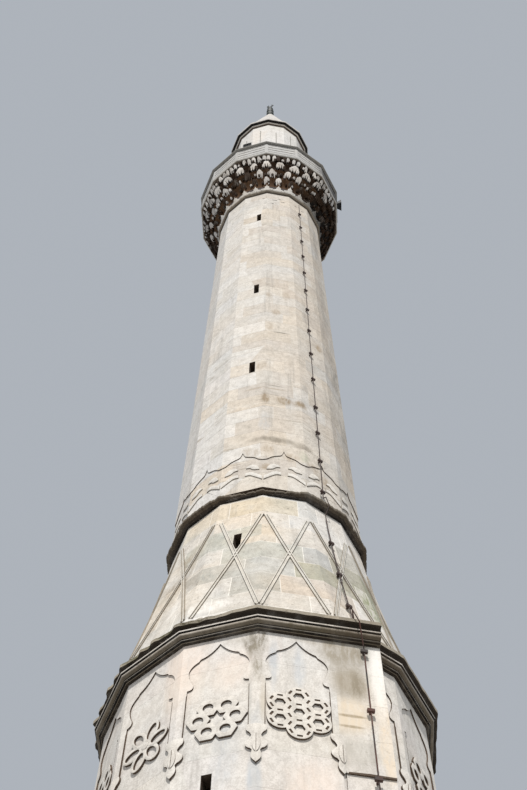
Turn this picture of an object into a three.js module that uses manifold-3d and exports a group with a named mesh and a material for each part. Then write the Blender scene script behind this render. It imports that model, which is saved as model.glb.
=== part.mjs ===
// Stone minaret with a fourteen-sided plan, one balcony and a slender spire.
// Millimetres, +Z up. The origin is on the tower's axis at ground level.
// The face with the slit windows looks along -Y, and the doorways are on the far side.
import * as THREE from 'three';
import { mergeVertices } from 'three/addons/utils/BufferGeometryUtils.js';
import Module from 'manifold-3d';

const wasm = await Module();
wasm.setup();

// Driving dimensions. A radius here is that of the corners of the fourteen-sided plan.
const SIDES = 14;
const STEP = (2 * Math.PI) / SIDES;
const HALF = STEP / 2;
const GAP = 0.3;

const VOID_R = 800;
const PLINTH = { r: 1850, top: 250 };
const BASE = { r: 1700, top: 700, upright: 230, chamfer: 60, neck: 45 };
const PEDESTAL = { r: 1504, bands: [700, 3000, 5400, 8100] };
const PANEL = { r: 1518, top: 9250 };
const RECESS = {
  half: 268, foot: PEDESTAL.bands[3] - 10, knuckle: 8655, shoulder: 8870,
  notch: { u: 183, z: 8997, wide: 13, high: 27 }, apex: 9180,
};
const CORNICE = { r: 1655, top: 9500 };
const SPREAD = { foot: 1562, top: 12150 };
const SPREAD_LINE = [
  [SPREAD.foot, CORNICE.top], [1462, 10000], [1354, 10560], [1252, 11150], [1170, 11680], [1112, SPREAD.top],
];
const RING = { r: 1200, top: 12280 };
const SHAFT = { heights: [12280, 16300, 20300, 24420], radii: [1155, 1118, 1090, 1065] };
const SHAFT_LINE = SHAFT.heights.map((z, i) => [SHAFT.radii[i], z]);
const COLLAR = { r: 1120, top: 24520 };
const LEAVES = { r: 1150, top: 24720 };
const CORBEL = { heights: [24720, 25040, 25310, 25560, 25800], radii: [1150, 1260, 1375, 1475, 1550] };
const FLOOR = { r: 1580, top: 25900 };
const PARAPET = { r: 1580, thick: 90, top: 26620 };
const COPING = { r: 1605, width: 150, top: 26700 };
const DRUM = { r: 950, inner: 690, door: 27850, top: 31400 };
const EAVES_BAND = { r: 1015, top: 31500 };
const SPIRE = {
  r: 1075, edge: 90, flare: { r: 940, height: 620 }, tip: 115, top: 36660, wall: 170, hollow: 35650,
};
const FINIAL = {
  base: 200, knobs: [{ r: 117, height: 400 }, { r: 114, height: 360 }, { r: 100, height: 280 }], neck: 40,
  crescent: { r: 110, hollow: 90, lift: 20, thick: 22, horn: 0.35 * Math.PI }, top: 38450,
};

// Mouldings as [radius, height above the foot], taken upwards on the outside.
const CORNICE_PROFILE = [
  [1551, 0], [1551, 22], [1569, 22], [1569, 44], [1597, 62], [1609, 98], [1621, 98], [1621, 118], [1605, 122],
  [1613, 150], [CORNICE.r - 6, 172], [CORNICE.r, 176], [CORNICE.r, 225],
];
const RING_PROFILE = [[1120, 0], [1150, 12], [RING.r - 15, 38], [RING.r, 52], [RING.r, 96]];
const COLLAR_PROFILE = [[1073, 0], [COLLAR.r - 20, 14], [COLLAR.r, 40], [COLLAR.r - 6, 72], [1095, 100]];
const LEAVES_PROFILE = [[1098, 0], [1108, 60], [1130, 130], [LEAVES.r, 200]];
const EAVES_PROFILE = [
  [DRUM.r - 5, 0], [DRUM.r + 12, 12], [DRUM.r + 40, 45], [EAVES_BAND.r, 60], [EAVES_BAND.r, 100],
];

// Slit windows in the front wall, each with its middle, foot, width and height.
const SLIT_WIDTH = 85;
const SLITS = {
  pedestal_middle: { u: -50, z: 3900, h: 450 },
  pedestal_upper: { u: -50, z: 7250, h: 450 },
  spreading_storey: { u: 18, z: 10940, h: 350 },
  shaft_lower: { u: 70, z: 15450, h: 350 },
  shaft_middle: { u: 85, z: 18560, h: 390 },
  shaft_upper: { u: 80, z: 22580, h: 420 },
};
const FOOT_DOOR = { width: 600, springing: 2050, rise: 300 };
const BALCONY_DOOR = { width: 400, springing: 27530, rise: 170 };

// Masonry that ties the pedestal to the neighbouring wall, flush with face 0.
const TIE = { inner: 200, end: 750, foot: 300, ledge: 7730, feather: 25 };

// A lightning conductor down face 1 and the tie wall, clear of the base and the plinth lower down.
const spaced = (first, pitch, count) => Array.from({ length: count }, (_, i) => first - i * pitch);
const CONDUCTOR = {
  r: 6, off: 38, bury: 20, top: 24150, shaft_u: [-10, -50], storey_u: [-12, -130],
  arm: 18, jaw: { width: 62, height: 32, depth: 28 },
  shaft_clamps: [...spaced(23490, 885, 11), ...spaced(13910, 730, 3)],
  storey_clamps: [11320, 10600, 9930],
  tie_u: 592, slant: 110, past_base: 1620, past_plinth: 1790, foot: 80,
  tie_clamps: spaced(9130, 730, 11),
};
const SPEAKER = {
  length: 240, mouth: 105, throat: 38, wall: 12, driver: 58, post: 24, stand: 30,
  foot: { width: 90, thick: 8, depth: 70 },
};
// Where each horn's post stands, as a face and how far along it, and how far back the horn is set on it.
const SPEAKERS = {
  front: { face: -1, u: -95, back: 100 },
  right: { face: 3, u: 0, back: 0 },
  rear: { face: 6, u: 0, back: 0 },
  left: { face: -4, u: 0, back: 80 },
};

// Finishes as they look in daylight.
const finish = (color, roughness, metalness = 0) =>
  new THREE.MeshStandardMaterial({ color, roughness, metalness });
const limestone = finish(0xd9d0c0, 0.85);
const stainedStone = finish(0x6e6152, 0.9);
const carvedStone = finish(0xa89a86, 0.9);
const castIron = finish(0x3a2f2a, 0.7, 0.3);
const bronze = finish(0x3f4a42, 0.5, 0.8);
const darkPaint = finish(0x26282b, 0.6);

const minaret = new THREE.Group();

// A closed solid from a closed geometry.
function solid(geometry) {
  const bare = geometry.clone();
  bare.deleteAttribute('normal');
  bare.deleteAttribute('uv');
  const merged = mergeVertices(bare, 1e-3);
  const mesh = new wasm.Mesh({
    numProp: 3,
    vertProperties: new Float32Array(merged.attributes.position.array),
    triVerts: new Uint32Array(merged.index.array),
  });
  return new wasm.Manifold(mesh);
}

// A geometry from a solid.
function geometryOf(body) {
  const mesh = body.getMesh();
  const geometry = new THREE.BufferGeometry();
  geometry.setAttribute('position', new THREE.BufferAttribute(new Float32Array(mesh.vertProperties), 3));
  geometry.setIndex(new THREE.BufferAttribute(new Uint32Array(mesh.triVerts), 1));
  geometry.computeVertexNormals();
  return geometry;
}

function add(name, shape, material) {
  const geometry = shape.isBufferGeometry ? shape : geometryOf(shape);
  const mesh = new THREE.Mesh(geometry, material);
  mesh.name = name;
  minaret.add(mesh);
  return mesh;
}

const union = (bodies) => bodies.reduce((whole, body) => whole.add(body));
const cut = (body, tools) => tools.reduce((rest, tool) => rest.subtract(tool), body);

// The radius of the flat faces under a given corner radius.
const flat = (cornerRadius) => cornerRadius * Math.cos(HALF);

// A body turned about the tower's axis from an outline of [radius, height] points, taken upwards
// on the outside. A corner lies half a step from -Y, so faces look along -Y and +Y.
function turned(points, sides = SIDES, start = HALF) {
  const outline = points.map(([r, z]) => new THREE.Vector2(r, z));
  const geometry = new THREE.LatheGeometry(outline, sides, start, 2 * Math.PI);
  return solid(geometry.rotateX(Math.PI / 2));
}

// A course of wall round the hollow: its outside upwards, and then its plain inner face.
function course(outside, inner = VOID_R) {
  const bottom = outside[0][1];
  const top = outside[outside.length - 1][1] - GAP;
  const outer = outside.map(([r, z]) => [r, Math.min(z, top)]);
  return turned([[inner, bottom], ...outer, [inner, top], [inner, bottom]]);
}

// The frame of one face: x along the face, y up and z outwards.
function faceFrame(face, u = 0, z = 0, out = 0) {
  const angle = (face + 1) * STEP;
  const along = new THREE.Vector3(Math.cos(angle), Math.sin(angle), 0);
  const up = new THREE.Vector3(0, 0, 1);
  const outward = new THREE.Vector3(Math.sin(angle), -Math.cos(angle), 0);
  const origin = outward.clone().multiplyScalar(out).addScaledVector(along, u).setZ(z);
  return new THREE.Matrix4().makeBasis(along, up, outward).setPosition(origin);
}

// An outline drawn on a face and pushed outwards from one distance to another.
function pushed(face, outline, from, to) {
  const depth = to - from;
  const geometry = new THREE.ExtrudeGeometry(outline, { depth, bevelEnabled: false, curveSegments: 6 });
  return solid(geometry.applyMatrix4(faceFrame(face, 0, 0, from)));
}

function rectangle(u, z, width, height) {
  const outline = new THREE.Shape();
  outline.moveTo(u - width / 2, z);
  outline.lineTo(u + width / 2, z);
  outline.lineTo(u + width / 2, z + height);
  outline.lineTo(u - width / 2, z + height);
  outline.closePath();
  return outline;
}

const FRONT_FACE = -1;
const REAR_FACE = 6;

function slit(name) {
  const { u, z, h } = SLITS[name];
  return pushed(FRONT_FACE, rectangle(u, z, SLIT_WIDTH, h), VOID_R / 2, BASE.r);
}

// A doorway through the rear wall, with a shallow pointed head.
function doorway({ width, foot, springing, rise }, from, to) {
  const outline = new THREE.Shape();
  const fullness = 0.7 * rise;
  outline.moveTo(-width / 2, foot);
  outline.lineTo(width / 2, foot);
  outline.lineTo(width / 2, springing);
  outline.quadraticCurveTo(width / 2, springing + fullness, 0, springing + rise);
  outline.quadraticCurveTo(-width / 2, springing + fullness, -width / 2, springing);
  outline.closePath();
  return pushed(REAR_FACE, outline, from, to);
}

// The recessed panel of a pedestal face. Its ogee head has a notch halfway up each side, and a
// round knuckle of the pilaster stands into it below the shoulder.
function panelOutline() {
  const { half, foot, knuckle, shoulder, notch, apex } = RECESS;
  const lip = { u: notch.u - notch.wide, z: notch.z + notch.high };
  // Each curve of the right side from its start to its end, with the point that pulls it.
  const curves = [
    { from: [half, knuckle], pull: [half - 72, knuckle + 5], to: [half - 42, knuckle + 75] },
    { from: [half - 42, knuckle + 75], pull: [half - 8, knuckle + 130], to: [half, shoulder] },
    { from: [half, shoulder], pull: [half - 6, shoulder + 80], to: [notch.u, notch.z] },
    { from: [lip.u, lip.z], pull: [70, notch.z + 63], to: [0, apex] },
  ];
  const outline = new THREE.Shape();
  outline.moveTo(-half, foot);
  outline.lineTo(half, foot);
  curves.forEach(({ from, pull, to }) => {
    outline.lineTo(...from);
    outline.quadraticCurveTo(...pull, ...to);
  });
  curves.reverse().forEach(({ from, pull, to }) => {
    outline.lineTo(-to[0], to[1]);
    outline.quadraticCurveTo(-pull[0], pull[1], -from[0], from[1]);
  });
  outline.closePath();
  return outline;
}

// A moulding's profile set on its foot.
const raised = (profile, foot) => profile.map(([r, height]) => [r, foot + height]);

function corniceOutside() {
  return [[PANEL.r, PANEL.top], ...raised(CORNICE_PROFILE, PANEL.top), [SPREAD.foot + 6, CORNICE.top - GAP]];
}

// An upright course, a chamfer and a steep weathering up to the plain wall.
function baseOutside() {
  const shoulder = PLINTH.top + BASE.upright;
  return [
    [BASE.r, PLINTH.top], [BASE.r, shoulder], [BASE.r - BASE.chamfer, shoulder + BASE.chamfer],
    [PEDESTAL.r + BASE.neck, BASE.top - BASE.neck], [PEDESTAL.r, BASE.top],
  ];
}

function pedestal() {
  const slabTop = PLINTH.top - GAP;
  add('plinth_slab', turned([[0, 0], [PLINTH.r, 0], [PLINTH.r, slabTop], [0, slabTop]]), limestone);
  const door = doorway({ ...FOOT_DOOR, foot: PLINTH.top - 10 }, VOID_R / 2, PLINTH.r);
  add('base_moulding', cut(course(baseOutside()), [door]), limestone);
  const names = ['pedestal_lower', 'pedestal_middle', 'pedestal_upper'];
  const openings = [door, slit('pedestal_middle'), slit('pedestal_upper')];
  names.forEach((name, i) => {
    const [bottom, top] = PEDESTAL.bands.slice(i, i + 2);
    const wall = course([[PEDESTAL.r, bottom], [PEDESTAL.r, top]]);
    add(name, cut(wall, [openings[i]]), limestone);
  });
  const frame = course([[PANEL.r, PEDESTAL.bands[3]], [PANEL.r, PANEL.top]]);
  const pockets = Array.from({ length: SIDES }, (_, face) =>
    pushed(face, panelOutline(), flat(PEDESTAL.r), flat(PANEL.r) + 20));
  add('panel_course', cut(frame, pockets), limestone);
  add('lower_cornice', course([...corniceOutside(), [SPREAD.foot, CORNICE.top]]), stainedStone);
}

// The wedge between face 1 of the pedestal and the neighbouring wall, in line with face 0.
function tieMasonry() {
  const { inner, end, ledge } = TIE;
  const block = (out, bottom, top) =>
    pushed(0, rectangle((inner + end) / 2, bottom, end - inner, top - bottom), flat(VOID_R), out);
  // The tower's own stone with the joint's width round it, to cut the wedge back to.
  const around = (outside) => {
    const grown = outside.map(([r, z]) => [r + GAP, z]);
    return turned([[0, outside[0][1]], ...grown, [0, outside[outside.length - 1][1]]]);
  };
  const baseBody = around([...baseOutside(), [PEDESTAL.r, PLINTH.top + BASE.top]]);
  const pedestalBody = around([[PEDESTAL.r, 0], [PEDESTAL.r, PEDESTAL.bands[3]]]);
  const panelBody = around([[PANEL.r, PEDESTAL.bands[3] - GAP], [PANEL.r, PANEL.top]]);
  const corniceBody = around(corniceOutside());
  // The wedge's thin edge stops a little way from the corner.
  const edge = flat(PANEL.r) * Math.tan(HALF) + TIE.feather;
  const trim = pushed(0, rectangle(0, 0, 2 * edge, CORNICE.top + 1), 0, 2 * CORNICE.r);
  const wall = block(flat(PEDESTAL.r), TIE.foot, ledge - GAP);
  const facing = block(flat(PANEL.r), ledge, PANEL.top - GAP);
  add('tie_wall', cut(wall, [baseBody, pedestalBody, trim]), limestone);
  add('tie_wall_facing', cut(facing, [pedestalBody, panelBody, trim]), limestone);
  // The cornice runs on over the wedge with the same mouldings.
  const outline = new THREE.Shape();
  outline.moveTo(flat(VOID_R), PANEL.top);
  corniceOutside().forEach(([r, z]) => outline.lineTo(flat(r), z));
  outline.lineTo(flat(VOID_R), CORNICE.top - GAP);
  outline.closePath();
  const run = new THREE.ExtrudeGeometry(outline, { depth: end - inner, bevelEnabled: false });
  const outward = new THREE.Vector3(Math.sin(STEP), -Math.cos(STEP), 0);
  const back = new THREE.Vector3(-Math.cos(STEP), -Math.sin(STEP), 0);
  const placed = new THREE.Matrix4().makeBasis(outward, new THREE.Vector3(0, 0, 1), back);
  run.applyMatrix4(placed.setPosition(back.clone().multiplyScalar(-end)));
  add('tie_cornice', cut(solid(run), [corniceBody, trim]), stainedStone);
}

function spreadingStorey() {
  add('spreading_storey', cut(course(SPREAD_LINE), [slit('spreading_storey')]), limestone);
  add('middle_ring', course([...raised(RING_PROFILE, SPREAD.top), [SHAFT.radii[0], RING.top]]), stainedStone);
}

function shaft() {
  ['shaft_lower', 'shaft_middle', 'shaft_upper'].forEach((name, i) => {
    const [bottom, top] = SHAFT.heights.slice(i, i + 2);
    const [low, high] = SHAFT.radii.slice(i, i + 2);
    add(name, cut(course([[low, bottom], [high, top]]), [slit(name)]), limestone);
  });
  add('shaft_collar', course(raised(COLLAR_PROFILE, SHAFT.heights[3])), stainedStone);
}

// A corbel tier: a star in plan, with a hanging point over every valley of the tier below. Its
// valleys stop a little outside the points of the tier below.
function tier(low, high, bottom, top, turn) {
  const cells = 2 * SIDES;
  const valley = low + 20;
  const outline = new THREE.Shape();
  for (let i = 0; i < 2 * cells; i += 1) {
    const point = i % 2 === 0;
    const angle = ((i + turn) / (2 * cells)) * 2 * Math.PI + HALF;
    const aligned = Math.cos(HALF) / Math.cos(((angle % STEP) + STEP) % STEP - HALF);
    const r = (point ? high : valley) * (0.5 + aligned / 2);
    const x = r * Math.sin(angle);
    const y = -r * Math.cos(angle);
    if (i) outline.lineTo(x, y);
    else outline.moveTo(x, y);
  }
  outline.closePath();
  const star = new THREE.ExtrudeGeometry(outline, { depth: top - bottom - GAP, bevelEnabled: false });
  const hollow = turned([[0, bottom - 1], [VOID_R, bottom - 1], [VOID_R, top + 1], [0, top + 1]]);
  return solid(star.translate(0, 0, bottom)).subtract(hollow);
}

function balcony() {
  add('corbel_leaves', course(raised(LEAVES_PROFILE, COLLAR.top)), carvedStone);
  for (let i = 0; i < 4; i += 1) {
    const [bottom, top] = CORBEL.heights.slice(i, i + 2);
    const [low, high] = CORBEL.radii.slice(i, i + 2);
    add(`corbel_tier_${i + 1}`, tier(low, high, bottom, top, i % 2), carvedStone);
  }
  add('balcony_floor', course([
    [FLOOR.r - 20, CORBEL.heights[4]], [FLOOR.r, CORBEL.heights[4] + 20], [FLOOR.r, FLOOR.top],
  ], DRUM.inner), limestone);
  parapet();
}

// One slab to each face, mitred at the corners, under a coping all round.
function parapet() {
  const outer = flat(PARAPET.r);
  const inner = outer - PARAPET.thick;
  const mitre = (r) => r * Math.tan(HALF) - GAP / 2;
  const outline = new THREE.Shape();
  outline.moveTo(-mitre(outer), -outer);
  outline.lineTo(mitre(outer), -outer);
  outline.lineTo(mitre(inner), -inner);
  outline.lineTo(-mitre(inner), -inner);
  outline.closePath();
  const height = PARAPET.top - FLOOR.top - GAP;
  const slab = geometryOf(solid(new THREE.ExtrudeGeometry(outline, { depth: height, bevelEnabled: false })));
  for (let face = 0; face < SIDES; face += 1) {
    const number = String(face + 1).padStart(2, '0');
    const panel = add(`parapet_slab_${number}`, slab.clone(), limestone);
    panel.position.z = FLOOR.top;
    panel.rotation.z = face * STEP;
  }
  add('parapet_coping', course([
    [COPING.r - 18, PARAPET.top], [COPING.r, PARAPET.top + 16], [COPING.r, COPING.top - 14],
    [COPING.r - 12, COPING.top],
  ], COPING.r - COPING.width), stainedStone);
}

function upperDrum() {
  const { r, inner, door, top } = DRUM;
  const opening = doorway({ ...BALCONY_DOOR, foot: FLOOR.top - 10 }, inner / 2, FLOOR.r);
  add('drum_lower', cut(course([[r, FLOOR.top], [r, door]], inner), [opening]), limestone);
  add('drum_upper', course([[r, door], [r - 10, top]], inner), limestone);
  add('eaves_band', course(raised(EAVES_PROFILE, top), inner), stainedStone);
}

// The spire is a shell, open below, with a sharp drip at the eaves.
function spire() {
  const { r, edge, flare, tip, wall, hollow } = SPIRE;
  const foot = EAVES_BAND.top;
  const top = SPIRE.top - GAP;
  const inside = r - wall;
  add('spire', turned([
    [inside, foot], [r - 10, foot], [r, foot + 12], [r, foot + edge], [flare.r, foot + flare.height],
    [tip, top], [0, top], [0, hollow], [inside - 30, foot + 400], [inside, foot],
  ]), limestone);
}

// Stacked knobs and a crescent, turned and cut from sheet bronze.
function finial() {
  const { base, knobs: [lower, upper, small], neck, crescent } = FINIAL;
  const knob = (bottom, { r, height }, steps = 6) => {
    const points = [[0, bottom], [neck, bottom]];
    for (let i = 1; i < steps; i += 1) {
      const t = (i / steps) * Math.PI;
      points.push([neck + (r - neck) * Math.sin(t), bottom + (height * (1 - Math.cos(t))) / 2]);
    }
    return [...points, [neck, bottom + height], [0, bottom + height]];
  };
  const round = (points) => turned(points, 12, 0);
  const atLower = SPIRE.top + base;
  const atUpper = atLower + lower.height;
  const atSmall = atUpper + upper.height;
  const stemFoot = atSmall + small.height;
  add('finial_base', round([
    [0, SPIRE.top], [SPIRE.tip, SPIRE.top], [SPIRE.tip, SPIRE.top + 40], [neck + 25, SPIRE.top + 110],
    [neck, atLower - GAP], [0, atLower - GAP],
  ]), bronze);
  add('finial_lower_knob', round(knob(atLower, { ...lower, height: lower.height - GAP })), bronze);
  add('finial_upper_knob', round(knob(atUpper, { ...upper, height: upper.height - GAP })), bronze);
  // The crescent's horns end at the top; its hollow is a smaller circle set higher.
  const { r, hollow, lift, thick, horn } = crescent;
  const centre = FINIAL.top - r * Math.sin(horn);
  const stemTop = centre - r + lift / 2;
  const stem = round([[0, stemFoot], [neck / 2, stemFoot], [neck / 3, stemTop], [0, stemTop]]);
  const moon = new THREE.Shape();
  const hollowHorn = Math.atan2(r * Math.sin(horn) - lift, r * Math.cos(horn));
  moon.absarc(0, centre, r, Math.PI - horn, 2 * Math.PI + horn, false);
  moon.absarc(0, centre + lift, hollow, hollowHorn, Math.PI - hollowHorn, true);
  moon.closePath();
  const top = union([round(knob(atSmall, small)), stem, pushed(FRONT_FACE, moon, -thick / 2, thick / 2)]);
  add('finial_crescent', top, bronze);
}

// A route of straight legs, with its section at each bend halfway between the two legs.
class Route extends THREE.Curve {
  constructor(points) {
    super();
    this.points = points;
  }

  getPointAt(share) {
    return this.points[Math.round(share * (this.points.length - 1))].clone();
  }

  getTangentAt(share) {
    const { points } = this;
    const last = points.length - 1;
    const i = Math.round(share * last);
    const leg = (k) => points[k + 1].clone().sub(points[k]).normalize();
    return leg(Math.max(i - 1, 0)).add(leg(Math.min(i, last - 1))).normalize();
  }
}

// Lightning conductor: a rod on stand-off clamps down face 1 and then down the tie wall.
function rod(points) {
  const section = new THREE.Shape();
  section.absarc(0, 0, CONDUCTOR.r, 0, 2 * Math.PI, false);
  const steps = points.length - 1;
  const extrudePath = new Route(points);
  return solid(new THREE.ExtrudeGeometry(section, { steps, extrudePath, curveSegments: 4 }));
}

function onFace(face, u, z, out) {
  return new THREE.Vector3().setFromMatrixPosition(faceFrame(face, u, z, out));
}

// The next rod's first two points, in line with the last leg and just clear of its end.
function onwards(points, length) {
  const [before, end] = points.slice(-2);
  const along = end.clone().sub(before).normalize();
  return [GAP, length].map((distance) => end.clone().addScaledVector(along, distance));
}

function clamp(face, u, z, wall, axis = wall + CONDUCTOR.off) {
  const { arm, jaw: { width, height, depth } } = CONDUCTOR;
  const bar = pushed(face, rectangle(u, z - arm / 2, arm, arm), wall + GAP, axis);
  const plate = rectangle(u, z - height / 2, width, height);
  return bar.add(pushed(face, plate, axis - depth / 2, axis + depth / 2));
}

// The flat radius of the outside at a height, read between the given [radius, height] points.
function wallAt(points, z) {
  const i = points.findIndex(([, height]) => height >= z);
  const [r0, z0] = points[Math.max(i - 1, 0)];
  const [r1, z1] = points[i];
  return flat(z1 === z0 ? r1 : r0 + ((r1 - r0) * (z - z0)) / (z1 - z0));
}

function conductor() {
  const { off, foot, tie_u: tieU, bury } = CONDUCTOR;
  // What the clamps are trimmed to: the outside of the shaft and of the spreading storey.
  const skin = turned([
    [0, CORNICE.top], ...[...SPREAD_LINE, ...SHAFT_LINE].map(([r, z]) => [r + GAP, z]), [0, SHAFT.heights[3]],
  ]);
  // The rod leans a little along the face on its way down, from one place at the top to another.
  const lean = ([top, bottom], [from, to]) => (z) => from + ((to - from) * (top - z)) / (top - bottom);
  const clampsOn = (line, heights, u) => heights.map((z) => {
    const wall = wallAt(line, z);
    return clamp(1, u(z), z, wall - bury, wall + off);
  });
  const shaftEnds = [CONDUCTOR.top, RING.top + 60];
  const shaftU = lean(shaftEnds, CONDUCTOR.shaft_u);
  const shaftPoints = [shaftEnds[0], SHAFT.heights[2], SHAFT.heights[1], shaftEnds[1]]
    .map((z) => onFace(1, shaftU(z), z, wallAt(SHAFT_LINE, z) + off));
  const shaftClamps = clampsOn(SHAFT_LINE, CONDUCTOR.shaft_clamps, shaftU);
  add('conductor_on_shaft', union([rod(shaftPoints), ...shaftClamps]).subtract(skin), castIron);
  const storeyEnds = [SPREAD.top - 10, CORNICE.top + 80];
  const storeyU = lean(storeyEnds, CONDUCTOR.storey_u);
  const bends = SPREAD_LINE.slice(1, 5).map(([, z]) => z).reverse();
  const storeyHeights = [SPREAD.top - 140, ...bends, storeyEnds[1]];
  const storeyPoints = [
    ...onwards(shaftPoints, 30),
    onFace(1, shaftU(RING.top), RING.top, flat(RING.r) + off),
    onFace(1, storeyU(storeyEnds[0]), storeyEnds[0], flat(RING.r) + off),
    ...storeyHeights.map((z) => onFace(1, storeyU(z), z, wallAt(SPREAD_LINE, z) + off)),
  ];
  const storeyClamps = clampsOn(SPREAD_LINE, CONDUCTOR.storey_clamps, storeyU);
  add('conductor_on_storey', union([rod(storeyPoints), ...storeyClamps]).subtract(skin), castIron);
  const tieOut = flat(PANEL.r) + off;
  const footRod = rod([
    ...onwards(storeyPoints, 30),
    onFace(0, tieU - CONDUCTOR.slant, CORNICE.top + 25, flat(CORNICE.r) + off),
    onFace(0, tieU - CONDUCTOR.slant / 2, PANEL.top + 120, flat(CORNICE.r) + off),
    onFace(0, tieU, PANEL.top - 90, tieOut),
    onFace(0, tieU, BASE.top + 250, tieOut),
    onFace(0, tieU, BASE.top + 30, CONDUCTOR.past_base),
    onFace(0, tieU, PLINTH.top + 50, CONDUCTOR.past_base),
    onFace(0, tieU, PLINTH.top - 20, CONDUCTOR.past_plinth),
    onFace(0, tieU, foot, CONDUCTOR.past_plinth),
  ]);
  const tieClamps = CONDUCTOR.tie_clamps
    .map((z) => clamp(0, tieU, z, z > TIE.ledge ? flat(PANEL.r) : flat(PEDESTAL.r), tieOut));
  add('conductor_on_pedestal', union([footRod, ...tieClamps]), castIron);
}

// A horn loudspeaker facing outwards, its post over the middle of the coping and its horn moved back.
function speaker(back) {
  const { length, mouth, throat, wall, stand } = SPEAKER;
  const fourSided = (wide, narrow, depth, at) =>
    solid(new THREE.CylinderGeometry(wide * Math.SQRT2, narrow * Math.SQRT2, depth, 4, 1)
      .rotateY(Math.PI / 4).rotateX(Math.PI / 2).translate(0, 0, at - back));
  const horn = fourSided(mouth, throat, length * 0.7, length * 0.51);
  const bell = fourSided(mouth - wall, throat / 2, length * 0.6, length * 0.57);
  const driver = new THREE.CylinderGeometry(SPEAKER.driver, SPEAKER.driver, length * 0.36, 12);
  driver.rotateX(Math.PI / 2).translate(0, 0, -back);
  const drop = mouth + stand;
  const post = new THREE.BoxGeometry(SPEAKER.post, drop, SPEAKER.post).translate(0, -drop / 2, 0);
  const reach = back + SPEAKER.post;
  const arm = new THREE.BoxGeometry(SPEAKER.post, SPEAKER.post, reach).translate(0, 0, -back / 2);
  const { width, thick, depth } = SPEAKER.foot;
  const foot = new THREE.BoxGeometry(width, thick, depth).translate(0, thick / 2 - drop, 0);
  return union([horn, solid(driver), solid(arm), solid(post), solid(foot)]).subtract(bell);
}

function speakers() {
  const seat = COPING.top + SPEAKER.mouth + SPEAKER.stand + GAP;
  Object.entries(SPEAKERS).forEach(([side, { face, u, back }]) => {
    const mesh = add(`loudspeaker_${side}`, speaker(back), darkPaint);
    mesh.applyMatrix4(faceFrame(face, u, seat, flat(COPING.r) - COPING.width / 2));
  });
}

pedestal();
tieMasonry();
spreadingStorey();
shaft();
balcony();
upperDrum();
spire();
finial();
conductor();
speakers();

export default minaret;
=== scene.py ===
# %% [markdown]
# # A stone minaret with one balcony
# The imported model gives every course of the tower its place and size, in metres. This file dresses those
# plain solids: it cuts the walls into stones, carves the panels and the corbels, and gives each finish its
# weather. Nothing is read from disk but that model.

import bisect
import math
import random

import bmesh
import bpy
from mathutils import Matrix, Vector


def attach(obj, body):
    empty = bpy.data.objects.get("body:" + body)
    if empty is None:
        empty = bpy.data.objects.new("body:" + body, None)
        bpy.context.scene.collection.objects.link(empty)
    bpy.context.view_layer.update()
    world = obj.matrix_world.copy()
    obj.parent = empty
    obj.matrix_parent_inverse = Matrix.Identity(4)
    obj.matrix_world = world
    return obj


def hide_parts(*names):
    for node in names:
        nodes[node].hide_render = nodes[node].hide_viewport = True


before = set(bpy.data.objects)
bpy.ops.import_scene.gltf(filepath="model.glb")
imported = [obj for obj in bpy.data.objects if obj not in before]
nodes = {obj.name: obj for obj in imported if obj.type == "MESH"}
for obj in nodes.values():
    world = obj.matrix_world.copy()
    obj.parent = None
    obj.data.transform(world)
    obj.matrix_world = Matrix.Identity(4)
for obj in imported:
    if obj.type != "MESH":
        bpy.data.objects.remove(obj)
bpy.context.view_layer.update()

# %% [markdown]
# The photo was taken close to the foot of the tower with the camera tipped far back, so the walls run
# together towards the top. A camera in the same place, turned the same way and with the same lens gives the
# same picture. Its turn is written as three directions, because with a view this steep three angles are
# hard to read.

# %% Camera
camera = bpy.data.objects.new("camera", bpy.data.cameras.new("camera"))
bpy.context.scene.collection.objects.link(camera)
looks_along = Vector((-0.12504522, 0.42773481, 0.89521317)).normalized()
to_the_right = Vector((0.96355, 0.26743, 0.00681)).normalized()
upwards = to_the_right.cross(looks_along).normalized()
turn = Matrix((to_the_right, upwards, -looks_along)).transposed().to_4x4()
eye = (2.06643671, -7.33404005, 1.6)
camera.matrix_world = Matrix.Translation(eye) @ turn
camera.data.lens = 50
camera.data.sensor_width = 36
camera.data.clip_end = 400
bpy.context.scene.camera = camera
print("camera looks up by", round(math.degrees(math.asin(looks_along.z))), "degrees")

# %% [markdown]
# A pale floor throws light up under the balcony, as sunny ground does. One large soft lamp stands for the
# sun, high behind the camera, and an even pale surround fills the shadows.

# %% Floor and light
bpy.ops.mesh.primitive_plane_add(size=160, location=(0, 0, 0))
floor = bpy.context.object
floor.name = "studio_floor"
floor_paint = bpy.data.materials.new("pale floor")
floor_paint.use_nodes = True
floor_skin = floor_paint.node_tree.nodes["Principled BSDF"]
floor_skin.inputs["Base Color"].default_value = (0.5, 0.49, 0.475, 1)
floor_skin.inputs["Roughness"].default_value = 0.9
floor.data.materials.append(floor_paint)

lamp = bpy.data.objects.new("soft_sun", bpy.data.lights.new("soft_sun", "SUN"))
bpy.context.scene.collection.objects.link(lamp)
lamp.data.energy = 4.05
lamp.data.angle = math.radians(4)
lamp.data.color = (1.0, 0.975, 0.94)
lamp_bearing, lamp_height = math.radians(12), math.radians(47)
towards_lamp = Vector((
    math.sin(lamp_bearing) * math.cos(lamp_height),
    -math.cos(lamp_bearing) * math.cos(lamp_height),
    math.sin(lamp_height),
))
lamp.rotation_mode = "QUATERNION"
lamp.rotation_quaternion = towards_lamp.to_track_quat("Z", "Y")

surround = bpy.data.worlds.new("pale surround")
surround.use_nodes = True
glow = surround.node_tree.nodes["Background"]
glow.inputs["Color"].default_value = (0.68, 0.73, 0.8, 1)
glow.inputs["Strength"].default_value = 0.62
bpy.context.scene.world = surround
bpy.context.scene.view_settings.view_transform = "Standard"
print("lamp comes from", [round(x, 2) for x in towards_lamp])

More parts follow.
